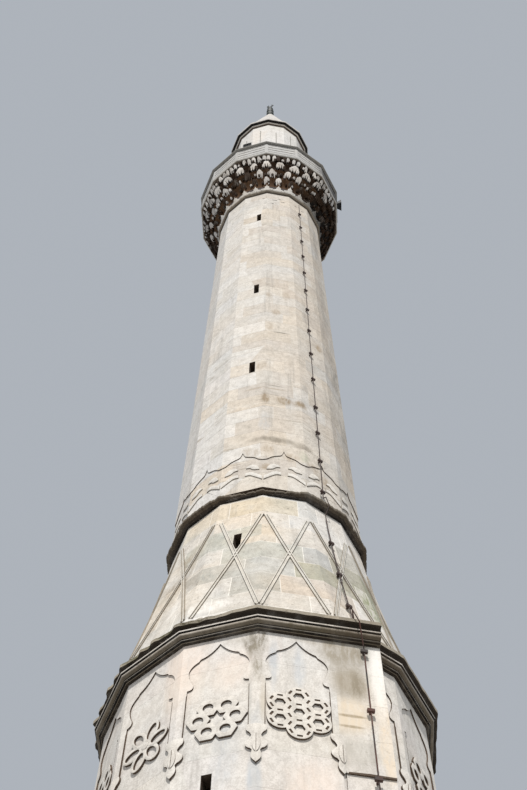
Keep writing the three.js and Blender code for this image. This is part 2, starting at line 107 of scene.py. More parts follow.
# %% [markdown]
# The plan has fourteen sides. Face -1 looks along -Y and holds the slit windows; the numbers go round to the
# right from there. A carving is easiest to model lying flat, with x along the wall, y up it and z out of it.
# `onto_face` then carries each of its points to the wall, which leans inwards as it rises, so the same flat
# model fits a steep wall and a plumb one.

# %% Faces of the plan
SIDES = 14
STEP = 2 * math.pi / SIDES
FLAT = math.cos(STEP / 2)

# The lines of the walls, from the ground up: the radius of the plan's corners and the height.
PEDESTAL = [(1.504, 0.0), (1.504, 9.25)]
PANEL_FRAME = [(1.518, 0.0), (1.518, 9.25)]
STOREY = [(1.562, 9.5), (1.462, 10.0), (1.354, 10.56), (1.252, 11.15), (1.17, 11.68), (1.112, 12.15)]
SHAFT = [(1.155, 12.28), (1.118, 16.3), (1.09, 20.3), (1.065, 24.42)]
PARAPET_LINE = [(1.58, 0), (1.58, 40)]
DRUM = [(0.95, 26.0), (0.95, 31.4)]


def face_directions(face):
    angle = (face + 1) * STEP
    along = Vector((math.cos(angle), math.sin(angle), 0))
    outward = Vector((math.sin(angle), -math.cos(angle), 0))
    return along, outward


def wall_distance(line, z):
    """How far the flat of a wall stands from the axis at height z."""
    for low, high in zip(line, line[1:]):
        (r0, z0), (r1, z1) = low, high
        if z <= z1:
            break
    share = min(max((z - z0) / (z1 - z0), 0), 1)
    return (r0 + (r1 - r0) * share) * FLAT


def onto_face(piece, face, line):
    along, outward = face_directions(face)
    for vertex in piece.data.vertices:
        u, z, out = vertex.co
        vertex.co = along * u + outward * (wall_distance(line, z) + out)
        vertex.co.z = z
    piece.data.update()
    return piece


print("half a face of the pedestal is", round(PEDESTAL[0][0] * math.sin(STEP / 2), 3), "m wide")

# %% [markdown]
# Every piece made here goes through the same last steps: one mesh, normals outwards, a finish, the body it
# rides on, and the solids it stands for.

# %% Helpers for finishing pieces


def pick_only(*pieces):
    if bpy.context.object and bpy.context.object.mode != "OBJECT":
        bpy.ops.object.mode_set(mode="OBJECT")
    bpy.ops.object.select_all(action="DESELECT")
    for piece in pieces:
        piece.select_set(True)
    bpy.context.view_layer.objects.active = pieces[0]


def edited(piece):
    """Opens a piece in edit mode with all of it selected."""
    pick_only(piece)
    bpy.ops.object.mode_set(mode="EDIT")
    bpy.ops.mesh.select_all(action="SELECT")


def closed():
    bpy.ops.object.mode_set(mode="OBJECT")


def edges_picked(piece, chosen):
    """In edit mode, selects the edges that a test picks and nothing else."""
    bpy.ops.mesh.select_mode(type="EDGE")
    bpy.ops.mesh.select_all(action="DESELECT")
    mesh = bmesh.from_edit_mesh(piece.data)
    for edge in mesh.edges:
        if chosen(edge):
            edge.select_set(True)
    bmesh.update_edit_mesh(piece.data)


def turned_outwards(piece):
    edited(piece)
    bpy.ops.mesh.remove_doubles(threshold=0.0001)
    bpy.ops.mesh.normals_make_consistent(inside=False)
    closed()
    return piece


def joined(pieces, name, models=()):
    """One mesh of all the pieces. The models they were copied from are thrown away."""
    pick_only(*pieces)
    if len(pieces) > 1:
        bpy.ops.object.join()
    whole = bpy.context.object
    whole.name = whole.data.name = name
    for model in models:
        bpy.data.objects.remove(model)
    return whole


def shown(name, mesh):
    """A new object in the scene."""
    piece = bpy.data.objects.new(name, mesh)
    bpy.context.scene.collection.objects.link(piece)
    return piece


def copied(piece, name="copy"):
    """A copy with a mesh of its own."""
    return shown(name, piece.data.copy())


def coloured(piece, colour_of):
    """Keeps a colour on every face: one for all, or what a function says of the face."""
    colours = piece.data.attributes.new("stone_colour", "FLOAT_COLOR", "FACE")
    for face, cell in zip(piece.data.polygons, colours.data):
        cell.color = (*(colour_of(face) if callable(colour_of) else colour_of), 1)
    return piece


def outward_of(point):
    return Vector((point.x, point.y, 0)).normalized()


def finished(piece, material, stands_for=(), smooth=None, hidden=None, is_hidden=None):
    """Gives a piece its finish. The faces picked by is_hidden get the second material instead."""
    piece.data.materials.clear()
    piece.data.materials.append(material)
    if hidden:
        piece.data.materials.append(hidden)
        for face in piece.data.polygons:
            face.material_index = 1 if is_hidden(face) else 0
    if smooth is not None:
        pick_only(piece)
        bpy.ops.object.shade_smooth_by_angle(angle=math.radians(smooth))
    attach(piece, "root")
    if stands_for:
        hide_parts(*stands_for)
    triangles = sum(len(face.vertices) - 2 for face in piece.data.polygons)
    print(piece.name, "has", triangles, "triangles")
    return piece


# %% [markdown]
# The walls are ashlar: level courses about 0.37 m high, of blocks that wrap round the corners, with joints
# about 8 mm wide. A bump texture could draw them, but sawn joints catch the light from every side and let
# each block have a colour of its own. So each wall is copied from the model, sawn level at every course with
# bisect, sawn upright once on each face in one of three bonds, and the saw cuts are bevelled and sunk. The
# colour of a block is kept on its faces, and how deep a point lies in a joint is kept on its vertices.

# %% Courses of stone
# The bed joints that can be told from the ground are given, and the rest are spaced by chance.
pick = random.Random(11)
MEASURED = [8.1, 8.5, 8.87, 9.9, 10.28, 10.635, 11.0, 11.425, 11.74, 12.6, 12.97, 13.32, 13.66, 14.0, 14.33,
            14.68, 15.03, 15.43, 15.8]
COURSES = [0.7]
while COURSES[-1] < 37.2:
    following = COURSES[-1] + pick.uniform(0.345, 0.405)
    if MEASURED and following > MEASURED[0] - 0.2:
        following = MEASURED.pop(0)
    COURSES.append(round(following, 3))

CREAM, PALE, GREEN = (0.71, 0.665, 0.6), (0.75, 0.725, 0.685), (0.57, 0.565, 0.51)
PEDESTAL_STONES = [PALE, (0.745, 0.715, 0.665), (0.755, 0.72, 0.68)]
STOREY_STONES = [PALE, (0.69, 0.67, 0.63), CREAM, (0.68, 0.65, 0.6), (0.66, 0.65, 0.62), PALE]
FRONT_STONES = [PALE, (0.735, 0.705, 0.655), (0.745, 0.715, 0.67), PALE, (0.725, 0.69, 0.64)]
RIGHT_STONES = [(0.65, 0.6, 0.535), (0.68, 0.635, 0.57), (0.63, 0.575, 0.51), (0.66, 0.63, 0.585),
                (0.67, 0.61, 0.53)]
LEFT_STONES = [(0.755, 0.735, 0.705), (0.745, 0.725, 0.69), (0.755, 0.73, 0.7)]
SHAFT_STONES = [FRONT_STONES, RIGHT_STONES, LEFT_STONES]
SPIRE_STONES = [(0.62, 0.6, 0.57), (0.66, 0.63, 0.6)]
print("the tower has", len(COURSES), "courses")

# The shaft's stones differ round the tower: browner and darker on the right, partly stain and partly painted
# shade on the faces that turn from the lamp, and washed even on the left. Some blocks stand out by their
# colour, each given as face, u, z and colour.
ODD_BLOCKS = [
    (-1, -0.01, 11.9, (0.72, 0.67, 0.58)), (0, 0.03, 11.9, (0.68, 0.62, 0.51)),
    (-1, -0.2, 11.85, (0.72, 0.67, 0.58)), (0, -0.26, 11.15, (0.7, 0.64, 0.55)), (-1, -0.2, 11.1, GREEN),
    (-1, 0.25, 10.8, (0.6, 0.6, 0.53)), (0, -0.1, 10.8, GREEN), (-1, 0.05, 10.5, (0.66, 0.63, 0.57)),
    (0, 0.22, 10.9, (0.52, 0.515, 0.49)), (-1, -0.25, 10.45, (0.5, 0.49, 0.46)),
    (0, -0.28, 10.46, (0.57, 0.565, 0.53)), (0, 0.22, 10.5, (0.48, 0.465, 0.43)),
    (-1, 0.2, 10.0, (0.67, 0.64, 0.6)), (0, 0.3, 10.1, (0.66, 0.595, 0.52)),
    (1, -0.2, 10.1, (0.66, 0.595, 0.52)), (0, -0.2, 10.15, (0.52, 0.51, 0.47)),
    (1, 0.1, 11.2, (0.55, 0.53, 0.48)), (1, 0.1, 10.8, (0.5, 0.47, 0.4)),
    (1, 0.1, 10.45, (0.46, 0.44, 0.35)), (2, 0, 10.8, (0.45, 0.43, 0.36)),
    (2, 0, 10.45, (0.45, 0.43, 0.36)), (-1, -0.08, 12.8, (0.73, 0.65, 0.55)),
    (-1, 0.02, 14.8, (0.73, 0.66, 0.57)), (0, 0.0, 14.5, (0.66, 0.59, 0.5)),
    (-1, 0.22, 15.6, (0.72, 0.66, 0.58)),
]


MIDDLE_RADIUS = 1.3  # Between the radius of the pedestal and that of the shaft.
LOOKS_OUT = 0.3  # A face looks out of the tower when its normal leans outwards by more than this.


def is_outside(face):
    return face.normal.dot(outward_of(face.calc_center_median())) > LOOKS_OUT


def face_number(point):
    """The face a point is on. A point on a corner always counts to the same one of its two faces."""
    return round(math.atan2(point.x, -point.y) / STEP - 0.0001) - 1


def saw(wall, chosen, point, normal):
    """Cuts the chosen faces with a plane, and marks the cut edges as joints."""
    mesh = bmesh.from_edit_mesh(wall.data)
    for part in (mesh.faces, mesh.edges, mesh.verts):
        for element in part:
            element.select_set(False)
    found = False
    for face in mesh.faces:
        if chosen(face):
            face.select_set(True)
            found = True
    bmesh.update_edit_mesh(wall.data)
    if not found:
        return
    bpy.ops.mesh.bisect(plane_co=point, plane_no=normal, threshold=0.0005)
    mesh = bmesh.from_edit_mesh(wall.data)
    joint = mesh.edges.layers.int["joint"]
    for edge in mesh.edges:
        if edge.select:
            edge[joint] = 1


def sawn_wall(node, stones, joint, bonds=(-0.42, 0.12, 0.5), only_face=None, cutter=None):
    """A wall of the model cut into stones.

    A joint is its half width and its depth. A bond says how far along a face, as a share of half a face, the
    upright joint of its courses stands.
    """
    wall = copied(nodes[node], node + "_stones")
    wall.data.materials.clear()
    edited(wall)
    bpy.ops.mesh.select_mode(type="FACE")
    bpy.ops.mesh.remove_doubles(threshold=0.0001)
    bpy.ops.mesh.dissolve_limited(angle_limit=math.radians(0.4))
    if cutter:
        closed()
        cut = wall.modifiers.new("cut", "BOOLEAN")
        cut.object = cutter
        cut.solver = "EXACT"
        cut.use_self = True
        bpy.ops.object.modifier_apply(modifier=cut.name)
        bpy.ops.object.mode_set(mode="EDIT")
    mesh = bmesh.from_edit_mesh(wall.data)
    mesh.edges.layers.int.new("joint")
    low = min(v.co.z for v in mesh.verts)
    high = max(v.co.z for v in mesh.verts)
    levels = [z for z in COURSES if low + 0.03 < z < high - 0.03]
    for z in levels:
        saw(wall, is_outside, (0, 0, z), (0, 0, 1))
    edges = [low - 1] + levels
    half = MIDDLE_RADIUS * math.sin(STEP / 2)
    for face in range(SIDES) if only_face is None else [only_face]:
        along = face_directions(face)[0]
        for bond, share in enumerate(bonds):

            def in_bond(f, face=face, bond=bond):
                middle = f.calc_center_median()
                here = face_number(middle) % SIDES if only_face is None else only_face
                on_course = (bisect.bisect(edges, middle.z) + face) % 3 == bond
                return is_outside(f) and here == face % SIDES and on_course

            saw(wall, in_bond, along * share * half, along)
    sawn = bmesh.from_edit_mesh(wall.data).edges.layers.int["joint"]
    edges_picked(wall, lambda edge: edge[sawn] and len(edge.link_faces) == 2
                 and all(is_outside(f) for f in edge.link_faces))
    bpy.ops.mesh.bevel(offset=joint[0], offset_type="OFFSET", segments=2, affect="EDGES")
    mesh = bmesh.from_edit_mesh(wall.data)
    deep = mesh.verts.layers.float.new("joint_depth")
    for vertex in mesh.verts:
        if vertex.link_faces and all(f.select for f in vertex.link_faces):
            vertex[deep] = 1
            vertex.co -= outward_of(vertex.co) * joint[1]

    def block_at(number, u, z):
        bond = (bisect.bisect(edges, z) + number) % 3
        return (number + (1 if u > bonds[bond] * half else 0)) % SIDES, bisect.bisect(COURSES, z)

    odd = {block_at(face, u, z): tint for face, u, z, tint in ODD_BLOCKS if low < z < high}
    colour = mesh.faces.layers.float_color.new("stone_colour")
    for face in mesh.faces:
        middle = face.calc_center_median()
        number = face_number(middle) if only_face is None else only_face
        block = block_at(number, middle.dot(face_directions(number)[0]), middle.z)
        dice = random.Random(100003 + block[1] * 131 + block[0])
        side = 0 if block[0] in (13, 6) else 1 if block[0] < 6 else 2
        choice = dice.choice(stones[side] if stones is SHAFT_STONES else stones)
        # Blocks on faces 2 to 4 of the shaft are made a little darker: painted shade on the side away from
        # the lamp.
        shade = dice.uniform(0.96, 1.03) * (0.92 if stones is SHAFT_STONES and 2 <= block[0] < 5 else 1)
        face[colour] = [channel * shade for channel in odd.get(block, choice)] + [1]
    closed()
    return wall


def faces_inwards(face):
    """True where a wall looks into itself: its inside, the reveals and the steps of its carving."""
    return face.normal.dot(outward_of(face.center)) < LOOKS_OUT


# %% [markdown]
# Weathered limestone is never one colour. A node group called "weather" does what every stone here shares:
# broad cool and warm patches, streaks of grime that run down the wall, level lines where softer beds of the
# stone have worn back, fine grain and small pits. It gives back a colour and a height for the bump. Each
# stone finish then sets its own amounts.

# %% The weather group


def new_group(name, inputs, outputs):
    group = bpy.data.node_groups.new(name, "ShaderNodeTree")
    for label, kind, value in inputs:
        socket = group.interface.new_socket(name=label, in_out="INPUT", socket_type=kind)
        socket.default_value = value
    for label, kind in outputs:
        group.interface.new_socket(name=label, in_out="OUTPUT", socket_type=kind)
    return group, group.nodes.new("NodeGroupInput"), group.nodes.new("NodeGroupOutput")


def plug(tree, value, socket):
    """Links a socket to another, or sets it to a plain value."""
    if isinstance(value, bpy.types.NodeSocket):
        tree.links.new(value, socket)
    else:
        socket.default_value = value


def wire(tree, kind, links=None, **settings):
    """Adds a node, sets its options, and fills its inputs by name."""
    node = tree.nodes.new(kind)
    for key, value in settings.items():
        setattr(node, key, value)
    for socket, value in (links or {}).items():
        plug(tree, value, node.inputs[socket])
    return node


def maths(tree, operation, a, b):
    return wire(tree, "ShaderNodeMath", {0: a, 1: b}, operation=operation).outputs[0]


def times(tree, a, b):
    return maths(tree, "MULTIPLY", a, b)


def attribute(tree, name, output):
    return wire(tree, "ShaderNodeAttribute", attribute_name=name).outputs[output]


def between(tree, value, low, high, to_low=0.0, to_high=1.0):
    node = wire(tree, "ShaderNodeMapRange", {"Value": value, "From Min": low, "From Max": high,
                                             "To Min": to_low, "To Max": to_high}, clamp=True)
    node.interpolation_type = "SMOOTHSTEP"
    return node.outputs["Result"]


def mixed(tree, factor, a, b, blend="MIX"):
    node = wire(tree, "ShaderNodeMix", data_type="RGBA", blend_type=blend, clamp_factor=True)
    for index, value in ((0, factor), (6, a), (7, b)):
        plug(tree, value, node.inputs[index])
    return node.outputs[2]


def noise(tree, scale, detail=4.0, stretch=(1, 1, 1), rough=0.55, place=None):
    if place is None:
        place = wire(tree, "ShaderNodeTexCoord").outputs["Object"]
    mapping = wire(tree, "ShaderNodeMapping", {"Vector": place, "Scale": stretch})
    return wire(tree, "ShaderNodeTexNoise", {"Vector": mapping.outputs[0], "Scale": scale, "Detail": detail,
                                             "Roughness": rough}).outputs["Fac"]


weather, given, made = new_group(
    "weather",
    [("Stone", "NodeSocketColor", (0.7, 0.65, 0.58, 1)),
     ("Grime colour", "NodeSocketColor", (0.12, 0.1, 0.08, 1)),
     ("Patches", "NodeSocketFloat", 0.5), ("Streaks", "NodeSocketFloat", 0.3),
     ("Grime", "NodeSocketFloat", 0.0), ("Pits", "NodeSocketFloat", 0.3),
     ("Beds", "NodeSocketFloat", 0.2), ("Wash", "NodeSocketFloat", 0.35)],
    [("Color", "NodeSocketColor"), ("Roughness", "NodeSocketFloat"), ("Height", "NodeSocketFloat")],
)
amount = given.outputs


def laid(colour, mask, strength, tint, blend="MIX"):
    """A tint laid over a colour where the mask shows, as strongly as the named input says."""
    return mixed(weather, times(weather, mask, amount[strength]), colour, tint, blend)


broad = noise(weather, 0.9, 3.0)
patch = noise(weather, 3.2, 6.0, rough=0.65)
runs = noise(weather, 7.0, 5.0, (1, 1, 0.07), 0.6)
fine_runs = noise(weather, 26.0, 4.0, (1, 1, 0.05), 0.6)
grain = noise(weather, 70.0, 5.0, rough=0.7)
specks = noise(weather, 24.0, 3.0, rough=0.5)
bedding = noise(weather, 4.0, 4.0, (1, 1, 9), 0.6)
worn_here = between(weather, noise(weather, 1.7, 2.0), 0.52, 0.66)
coarse = noise(weather, 13.0, 9.0, (1, 1, 0.7), 0.8)

streak = times(weather, between(weather, runs, 0.52, 0.72), between(weather, fine_runs, 0.35, 0.6))
broken = maths(weather, "ADD", patch, times(weather, runs, 0.8))
grime = between(weather, maths(weather, "ADD", broken, times(weather, amount["Grime"], 1.6)), 1.25, 1.75)
beds = times(weather, between(weather, bedding, 0.52, 0.68), worn_here)
pits = between(weather, specks, 0.63, 0.72)
clouded = maths(weather, "ADD", times(weather, grain, 0.4), times(weather, coarse, 0.6))

WARM, COOL = (1.06, 0.98, 0.88, 1), (0.84, 0.86, 0.86, 1)
warm = laid(amount["Stone"], between(weather, broad, 0.38, 0.66), "Patches", WARM, "MULTIPLY")
cool = laid(warm, between(weather, patch, 0.5, 0.72), "Patches", COOL, "MULTIPLY")
pale_wash = laid(cool, between(weather, patch, 0.5, 0.28), "Wash", (0.78, 0.76, 0.71, 1))
streaked = laid(pale_wash, streak, "Streaks", (0.3, 0.28, 0.25, 1))
grimy = mixed(weather, grime, streaked, amount["Grime colour"])
bedded = laid(grimy, beds, "Beds", (0.42, 0.37, 0.3, 1))
pitted = laid(bedded, pits, "Pits", (0.2, 0.17, 0.13, 1))
speckled = mixed(weather, between(weather, clouded, 0.4, 0.6), (0.68, 0.67, 0.66, 1), (0.91, 0.91, 0.91, 1))
final = mixed(weather, 1.0, pitted, speckled, "MULTIPLY")
height = maths(weather, "SUBTRACT", times(weather, grain, 0.35), times(weather, pits, amount["Pits"]))
height = maths(weather, "ADD", height, times(weather, patch, 0.5))
weather.links.new(final, made.inputs["Color"])
weather.links.new(between(weather, grain, 0.2, 0.8, 0.78, 0.95), made.inputs["Roughness"])
weather.links.new(height, made.inputs["Height"])
print("weather group has", len(weather.nodes), "nodes")

# %% [markdown]
# A second group marks one place on the tower: a mottled blot round a point, with a broken edge. Listed
# marks, such as the dark run under a ledge or a green patch low on a wall, are blots with their own sizes.

# %% The blot group
blot, given, made = new_group(
    "blot",
    [("Centre", "NodeSocketVector", (0, 0, 0)), ("Reach", "NodeSocketVector", (1, 1, 1)),
     ("Break", "NodeSocketFloat", 0.5)],
    [("Mask", "NodeSocketFloat")],
)
place = wire(blot, "ShaderNodeTexCoord").outputs["Object"]
VECTORS = "ShaderNodeVectorMath"
offset = wire(blot, VECTORS, {0: place, 1: given.outputs["Centre"]}, operation="SUBTRACT")
scaled = wire(blot, VECTORS, {0: offset.outputs[0], 1: given.outputs["Reach"]}, operation="DIVIDE")
distance = wire(blot, VECTORS, {0: scaled.outputs[0]}, operation="LENGTH").outputs["Value"]
ragged = times(blot, maths(blot, "SUBTRACT", noise(blot, 5.0, 6.0, (1, 1, 0.4)), 0.5),
               times(blot, given.outputs["Break"], 3.0))
within = between(blot, maths(blot, "ADD", distance, ragged), 1.1, 0.35)
mottle = between(blot, noise(blot, 19.0, 8.0, (1, 1, 0.28), 0.75), 0.45, 0.55)
held_back = times(blot, maths(blot, "SUBTRACT", 1.0, mottle), given.outputs["Break"])
blot.links.new(times(blot, within, maths(blot, "SUBTRACT", 1.0, held_back)), made.inputs["Mask"])
print("blot group has", len(blot.nodes), "nodes")


def use_group(tree, group, **values):
    node = wire(tree, "ShaderNodeGroup", node_tree=group)
    for label, value in values.items():
        plug(tree, value, node.inputs[label.replace("_", " ")])
    return node


# %% [markdown]
# The stone finishes. All of them run the block colour through the weather group, darken or whiten the
# joints, and lay listed blots over it. Roughness and bump come from the same group.

# %% Stone finishes
BUMP_STRENGTH = 0.8


def stone(name, marks=(), line=None, joint=None, joint_mix=0.75, base=None, bump=0.006, shine=0.25,
          grime_colour=(0.12, 0.1, 0.08), **amounts):
    """A stone finish, with its marks laid one over another on a wall of the given line."""
    material = bpy.data.materials.new(name)
    material.use_nodes = True
    tree = material.node_tree
    skin = tree.nodes["Principled BSDF"]
    block = (*base, 1) if base else attribute(tree, "stone_colour", "Color")
    worn = use_group(tree, weather, Stone=block, Grime_colour=(*grime_colour, 1), **amounts)
    colour = worn.outputs["Color"]
    for tint, strength, face, u, z, half_width, half_height, ragged_edge in marks:
        along, outward = face_directions(face)
        centre = along * u + outward * wall_distance(line, z)
        mask = use_group(tree, blot, Centre=(centre.x, centre.y, z), Break=ragged_edge,
                         Reach=(half_width, half_width, half_height)).outputs["Mask"]
        colour = mixed(tree, times(tree, mask, strength), colour, (*tint, 1))
    if joint:
        deep = attribute(tree, "joint_depth", "Fac")
        colour = mixed(tree, times(tree, deep, joint_mix), colour, (*joint, 1))
    tree.links.new(colour, skin.inputs["Base Color"])
    tree.links.new(worn.outputs["Roughness"], skin.inputs["Roughness"])
    relief = wire(tree, "ShaderNodeBump",
                  {"Height": worn.outputs["Height"], "Distance": bump, "Strength": BUMP_STRENGTH})
    tree.links.new(relief.outputs[0], skin.inputs["Normal"])
    skin.inputs["Specular IOR Level"].default_value = shine
    return material


# Colours of the marks, and the marks of each finish: colour, strength, face, place along it, height, half
# width, half height and how ragged the edge is.
EARTHY, BROWN, DARK = (0.25, 0.185, 0.115), (0.3, 0.225, 0.145), (0.13, 0.115, 0.09)
BLUISH, ROSY, WASH = (0.42, 0.45, 0.48), (0.76, 0.63, 0.53), (0.86, 0.83, 0.78)
ALGAE, SHADY = (0.2, 0.22, 0.11), (0.035, 0.034, 0.036)
PEDESTAL_MARKS = [
    (ROSY, 0.5, -1, -0.25, 9.0, 0.2, 0.6, 0.3), (ROSY, 0.5, -2, 0.25, 8.9, 0.15, 0.6, 0.3),
    (ROSY, 0.5, 0, 0.1, 7.6, 0.3, 0.3, 0.3), (BLUISH, 0.35, -1, 0.07, 7.9, 0.14, 0.5, 0.4),
    (BLUISH, 0.6, 0, -0.2, 8.9, 0.06, 0.4, 0.4), (BLUISH, 0.5, 0, 0.02, 8.85, 0.07, 0.4, 0.4),
    (BLUISH, 0.7, -1, 0.32, 7.5, 0.07, 0.4, 0.3), (ROSY, 0.4, -1, 0.1, 8.8, 0.25, 0.3, 0.3),
    ((0.16, 0.135, 0.095), 0.85, -1, 0.335, 9.17, 0.12, 0.26, 0.6),
    ((0.26, 0.225, 0.17), 0.8, -1, 0.335, 8.85, 0.065, 0.34, 0.6),
    ((0.3, 0.26, 0.2), 0.6, 0, 0.2, 9.24, 0.3, 0.09, 0.4),
    ((0.4, 0.37, 0.32), 0.5, -1, 0.2, 9.2, 0.2, 0.08, 0.5),
    ((0.42, 0.43, 0.43), 0.5, 0, -0.33, 8.0, 0.08, 0.4, 0.5),
    # The next two marks paint shade down the left edge and the right half of the pilaster between faces -1
    # and 0, so that it reads round.
    ((0.4, 0.385, 0.35), 0.75, -1, 0.28, 8.4, 0.026, 0.36, 0.2),
    ((0.5, 0.44, 0.35), 0.65, 0, -0.285, 8.4, 0.04, 0.36, 0.2),
    ((0.5, 0.48, 0.44), 0.5, -1, 0.337, 7.35, 0.06, 0.3, 0.4),
    ((0.55, 0.5, 0.42), 0.5, 0, 0.3, 7.95, 0.06, 0.35, 0.6),
]
TIE_MARKS = [
    ((0.27, 0.23, 0.17), 0.85, 0, 0.42, 9.14, 0.32, 0.25, 0.3),
    ((0.3, 0.255, 0.19), 0.9, 0, 0.45, 8.75, 0.21, 0.3, 0.15),
    ((0.22, 0.185, 0.13), 0.6, 0, 0.5, 8.72, 0.08, 0.28, 0.6),
    ((0.66, 0.55, 0.41), 0.8, 0, 0.45, 8.35, 0.25, 0.27, 0.3),
    ((0.29, 0.225, 0.14), 0.85, 0, 0.45, 8.35, 0.17, 0.022, 0.2),
    ((0.29, 0.225, 0.14), 0.8, 0, 0.44, 8.23, 0.14, 0.02, 0.2),
    ((0.44, 0.41, 0.36), 0.85, 0, 0.46, 7.93, 0.22, 0.3, 0.4),
    ((0.36, 0.34, 0.3), 0.7, 0, 0.57, 7.95, 0.04, 0.3, 0.4),
    ((0.7, 0.58, 0.44), 0.8, 0, 0.71, 8.2, 0.1, 0.6, 0.5), (WASH, 0.7, 0, 0.7, 8.9, 0.09, 0.7, 0.2),
]
PEDESTAL_MARKS += TIE_MARKS[:2]
DRUM_MARKS = [
    ((0.36, 0.34, 0.32), 0.7, 2, 0.0, 29.0, 0.3, 3.5, 0.4),
    ((0.66, 0.56, 0.46), 0.4, -1, -0.1, 30.5, 0.3, 1.0, 0.5),
    ((0.5, 0.5, 0.44), 0.4, 0, 0.0, 31.2, 0.5, 0.3, 0.6),
]
SHAFT_MARKS = [
    (EARTHY, 0.95, 0, 0, 14.55, 0.15, 0.15, 0.4), (EARTHY, 0.9, 0, 0.23, 14.53, 0.14, 0.15, 0.45),
    (EARTHY, 0.85, 0, -0.23, 14.57, 0.08, 0.2, 0.5), (BROWN, 0.8, 1, 0.15, 16.9, 0.09, 0.16, 0.5),
    (BROWN, 0.55, 0, -0.07, 17.66, 0.08, 0.16, 0.5), (BROWN, 0.45, 0, 0.1, 18.45, 0.07, 0.24, 0.5),
    (BROWN, 0.45, 0, -0.18, 18.4, 0.07, 0.18, 0.5), (BROWN, 0.4, 0, -0.17, 17.07, 0.07, 0.22, 0.5),
    (BROWN, 0.6, -1, 0.2, 15.62, 0.09, 0.16, 0.5), (BROWN, 0.65, 0, -0.2, 13.2, 0.12, 0.14, 0.6),
    ((0.2, 0.17, 0.13), 0.8, 0, -0.12, 13.43, 0.34, 0.1, 0.25),
    ((0.2, 0.17, 0.13), 0.7, 1, -0.27, 13.36, 0.16, 0.1, 0.3),
    ((0.36, 0.37, 0.28), 0.6, 0, 0.26, 13.1, 0.1, 0.2, 0.5), (BROWN, 0.6, 1, 0.05, 12.83, 0.1, 0.12, 0.6),
    (BROWN, 0.6, 0, -0.2, 12.75, 0.1, 0.1, 0.6), (BROWN, 0.45, -1, 0.1, 13.1, 0.14, 0.16, 0.6),
    (BROWN, 0.5, 0, 0.1, 13.05, 0.14, 0.1, 0.6), (BROWN, 0.5, 1, -0.15, 12.95, 0.12, 0.12, 0.6),
    (DARK, 0.6, 0, 0.0, 16.87, 0.16, 0.026, 0.2), (DARK, 0.5, 0, -0.1, 14.97, 0.16, 0.02, 0.1),
    (BROWN, 0.6, 0, -0.1, 14.87, 0.18, 0.02, 0.1), (BROWN, 0.55, -1, 0.1, 14.9, 0.18, 0.03, 0.3),
    ((0.27, 0.25, 0.22), 0.8, 2, 0.1, 16.5, 0.2, 1.2, 0.8),
    ((0.27, 0.25, 0.22), 0.8, 2, 0.2, 14.6, 0.2, 0.9, 0.8),
    ((0.27, 0.25, 0.22), 0.65, 2, 0.0, 22.8, 0.12, 1.3, 0.8),
    ((0.3, 0.28, 0.25), 0.6, 2, 0.0, 19.6, 0.14, 1.5, 0.8),
    ((0.33, 0.3, 0.26), 0.5, 1, 0.2, 19.3, 0.08, 1.6, 0.8), (BLUISH, 0.35, 0, -0.24, 13.8, 0.1, 0.4, 0.6),
    ((0.33, 0.31, 0.28), 0.6, 1, -0.18, 15.0, 0.07, 0.2, 0.7),
    ((0.42, 0.41, 0.38), 0.4, -2, 0.1, 16.0, 0.12, 0.7, 0.8),
]
STOREY_MARKS = [
    (ALGAE, 0.75, 1, 0.3, 10.3, 0.2, 0.5, 0.7), (ALGAE, 0.5, 2, -0.1, 10.6, 0.35, 0.7, 0.7),
    (BROWN, 0.5, -2, -0.05, 11.2, 0.14, 0.1, 0.8), (BROWN, 0.35, -2, -0.14, 10.7, 0.16, 0.2, 0.8),
    (WASH, 0.5, -1, -0.1, 9.75, 0.3, 0.14, 0.5), (WASH, 0.4, -2, 0.1, 10.0, 0.2, 0.5, 0.5),
    (BLUISH, 0.3, 0, 0.0, 11.5, 0.16, 0.14, 0.6),
    ((0.33, 0.33, 0.29), 0.6, -1, -0.22, 11.15, 0.09, 0.25, 0.6),
    ((0.3, 0.3, 0.27), 0.6, -1, -0.25, 10.45, 0.12, 0.2, 0.7),
    ((0.3, 0.3, 0.26), 0.5, 0, 0.3, 10.55, 0.12, 0.35, 0.7),
    ((0.34, 0.29, 0.22), 0.5, -2, 0.0, 11.0, 0.25, 0.5, 0.8),
    ((0.34, 0.29, 0.22), 0.4, -2, -0.1, 10.0, 0.25, 0.3, 0.8),
]
MOULDING_MARKS = [
    ((0.1, 0.08, 0.045), 0.6, 0, 0.2, 9.3, 0.55, 0.04, 0.6),
    ((0.1, 0.075, 0.05), 0.7, 1, 0.0, 9.31, 0.6, 0.07, 0.4),
    ((0.12, 0.1, 0.07), 0.6, -1, 0.3, 9.3, 0.25, 0.05, 0.6),
    ((0.065, 0.055, 0.03), 0.95, -1, -0.3, 9.47, 0.45, 0.07, 0.5),
    ((0.075, 0.07, 0.03), 0.95, -2, -0.1, 9.48, 0.5, 0.07, 0.5),
    ((0.18, 0.18, 0.05), 0.9, -3, -0.1, 9.5, 0.5, 0.07, 0.6),
]
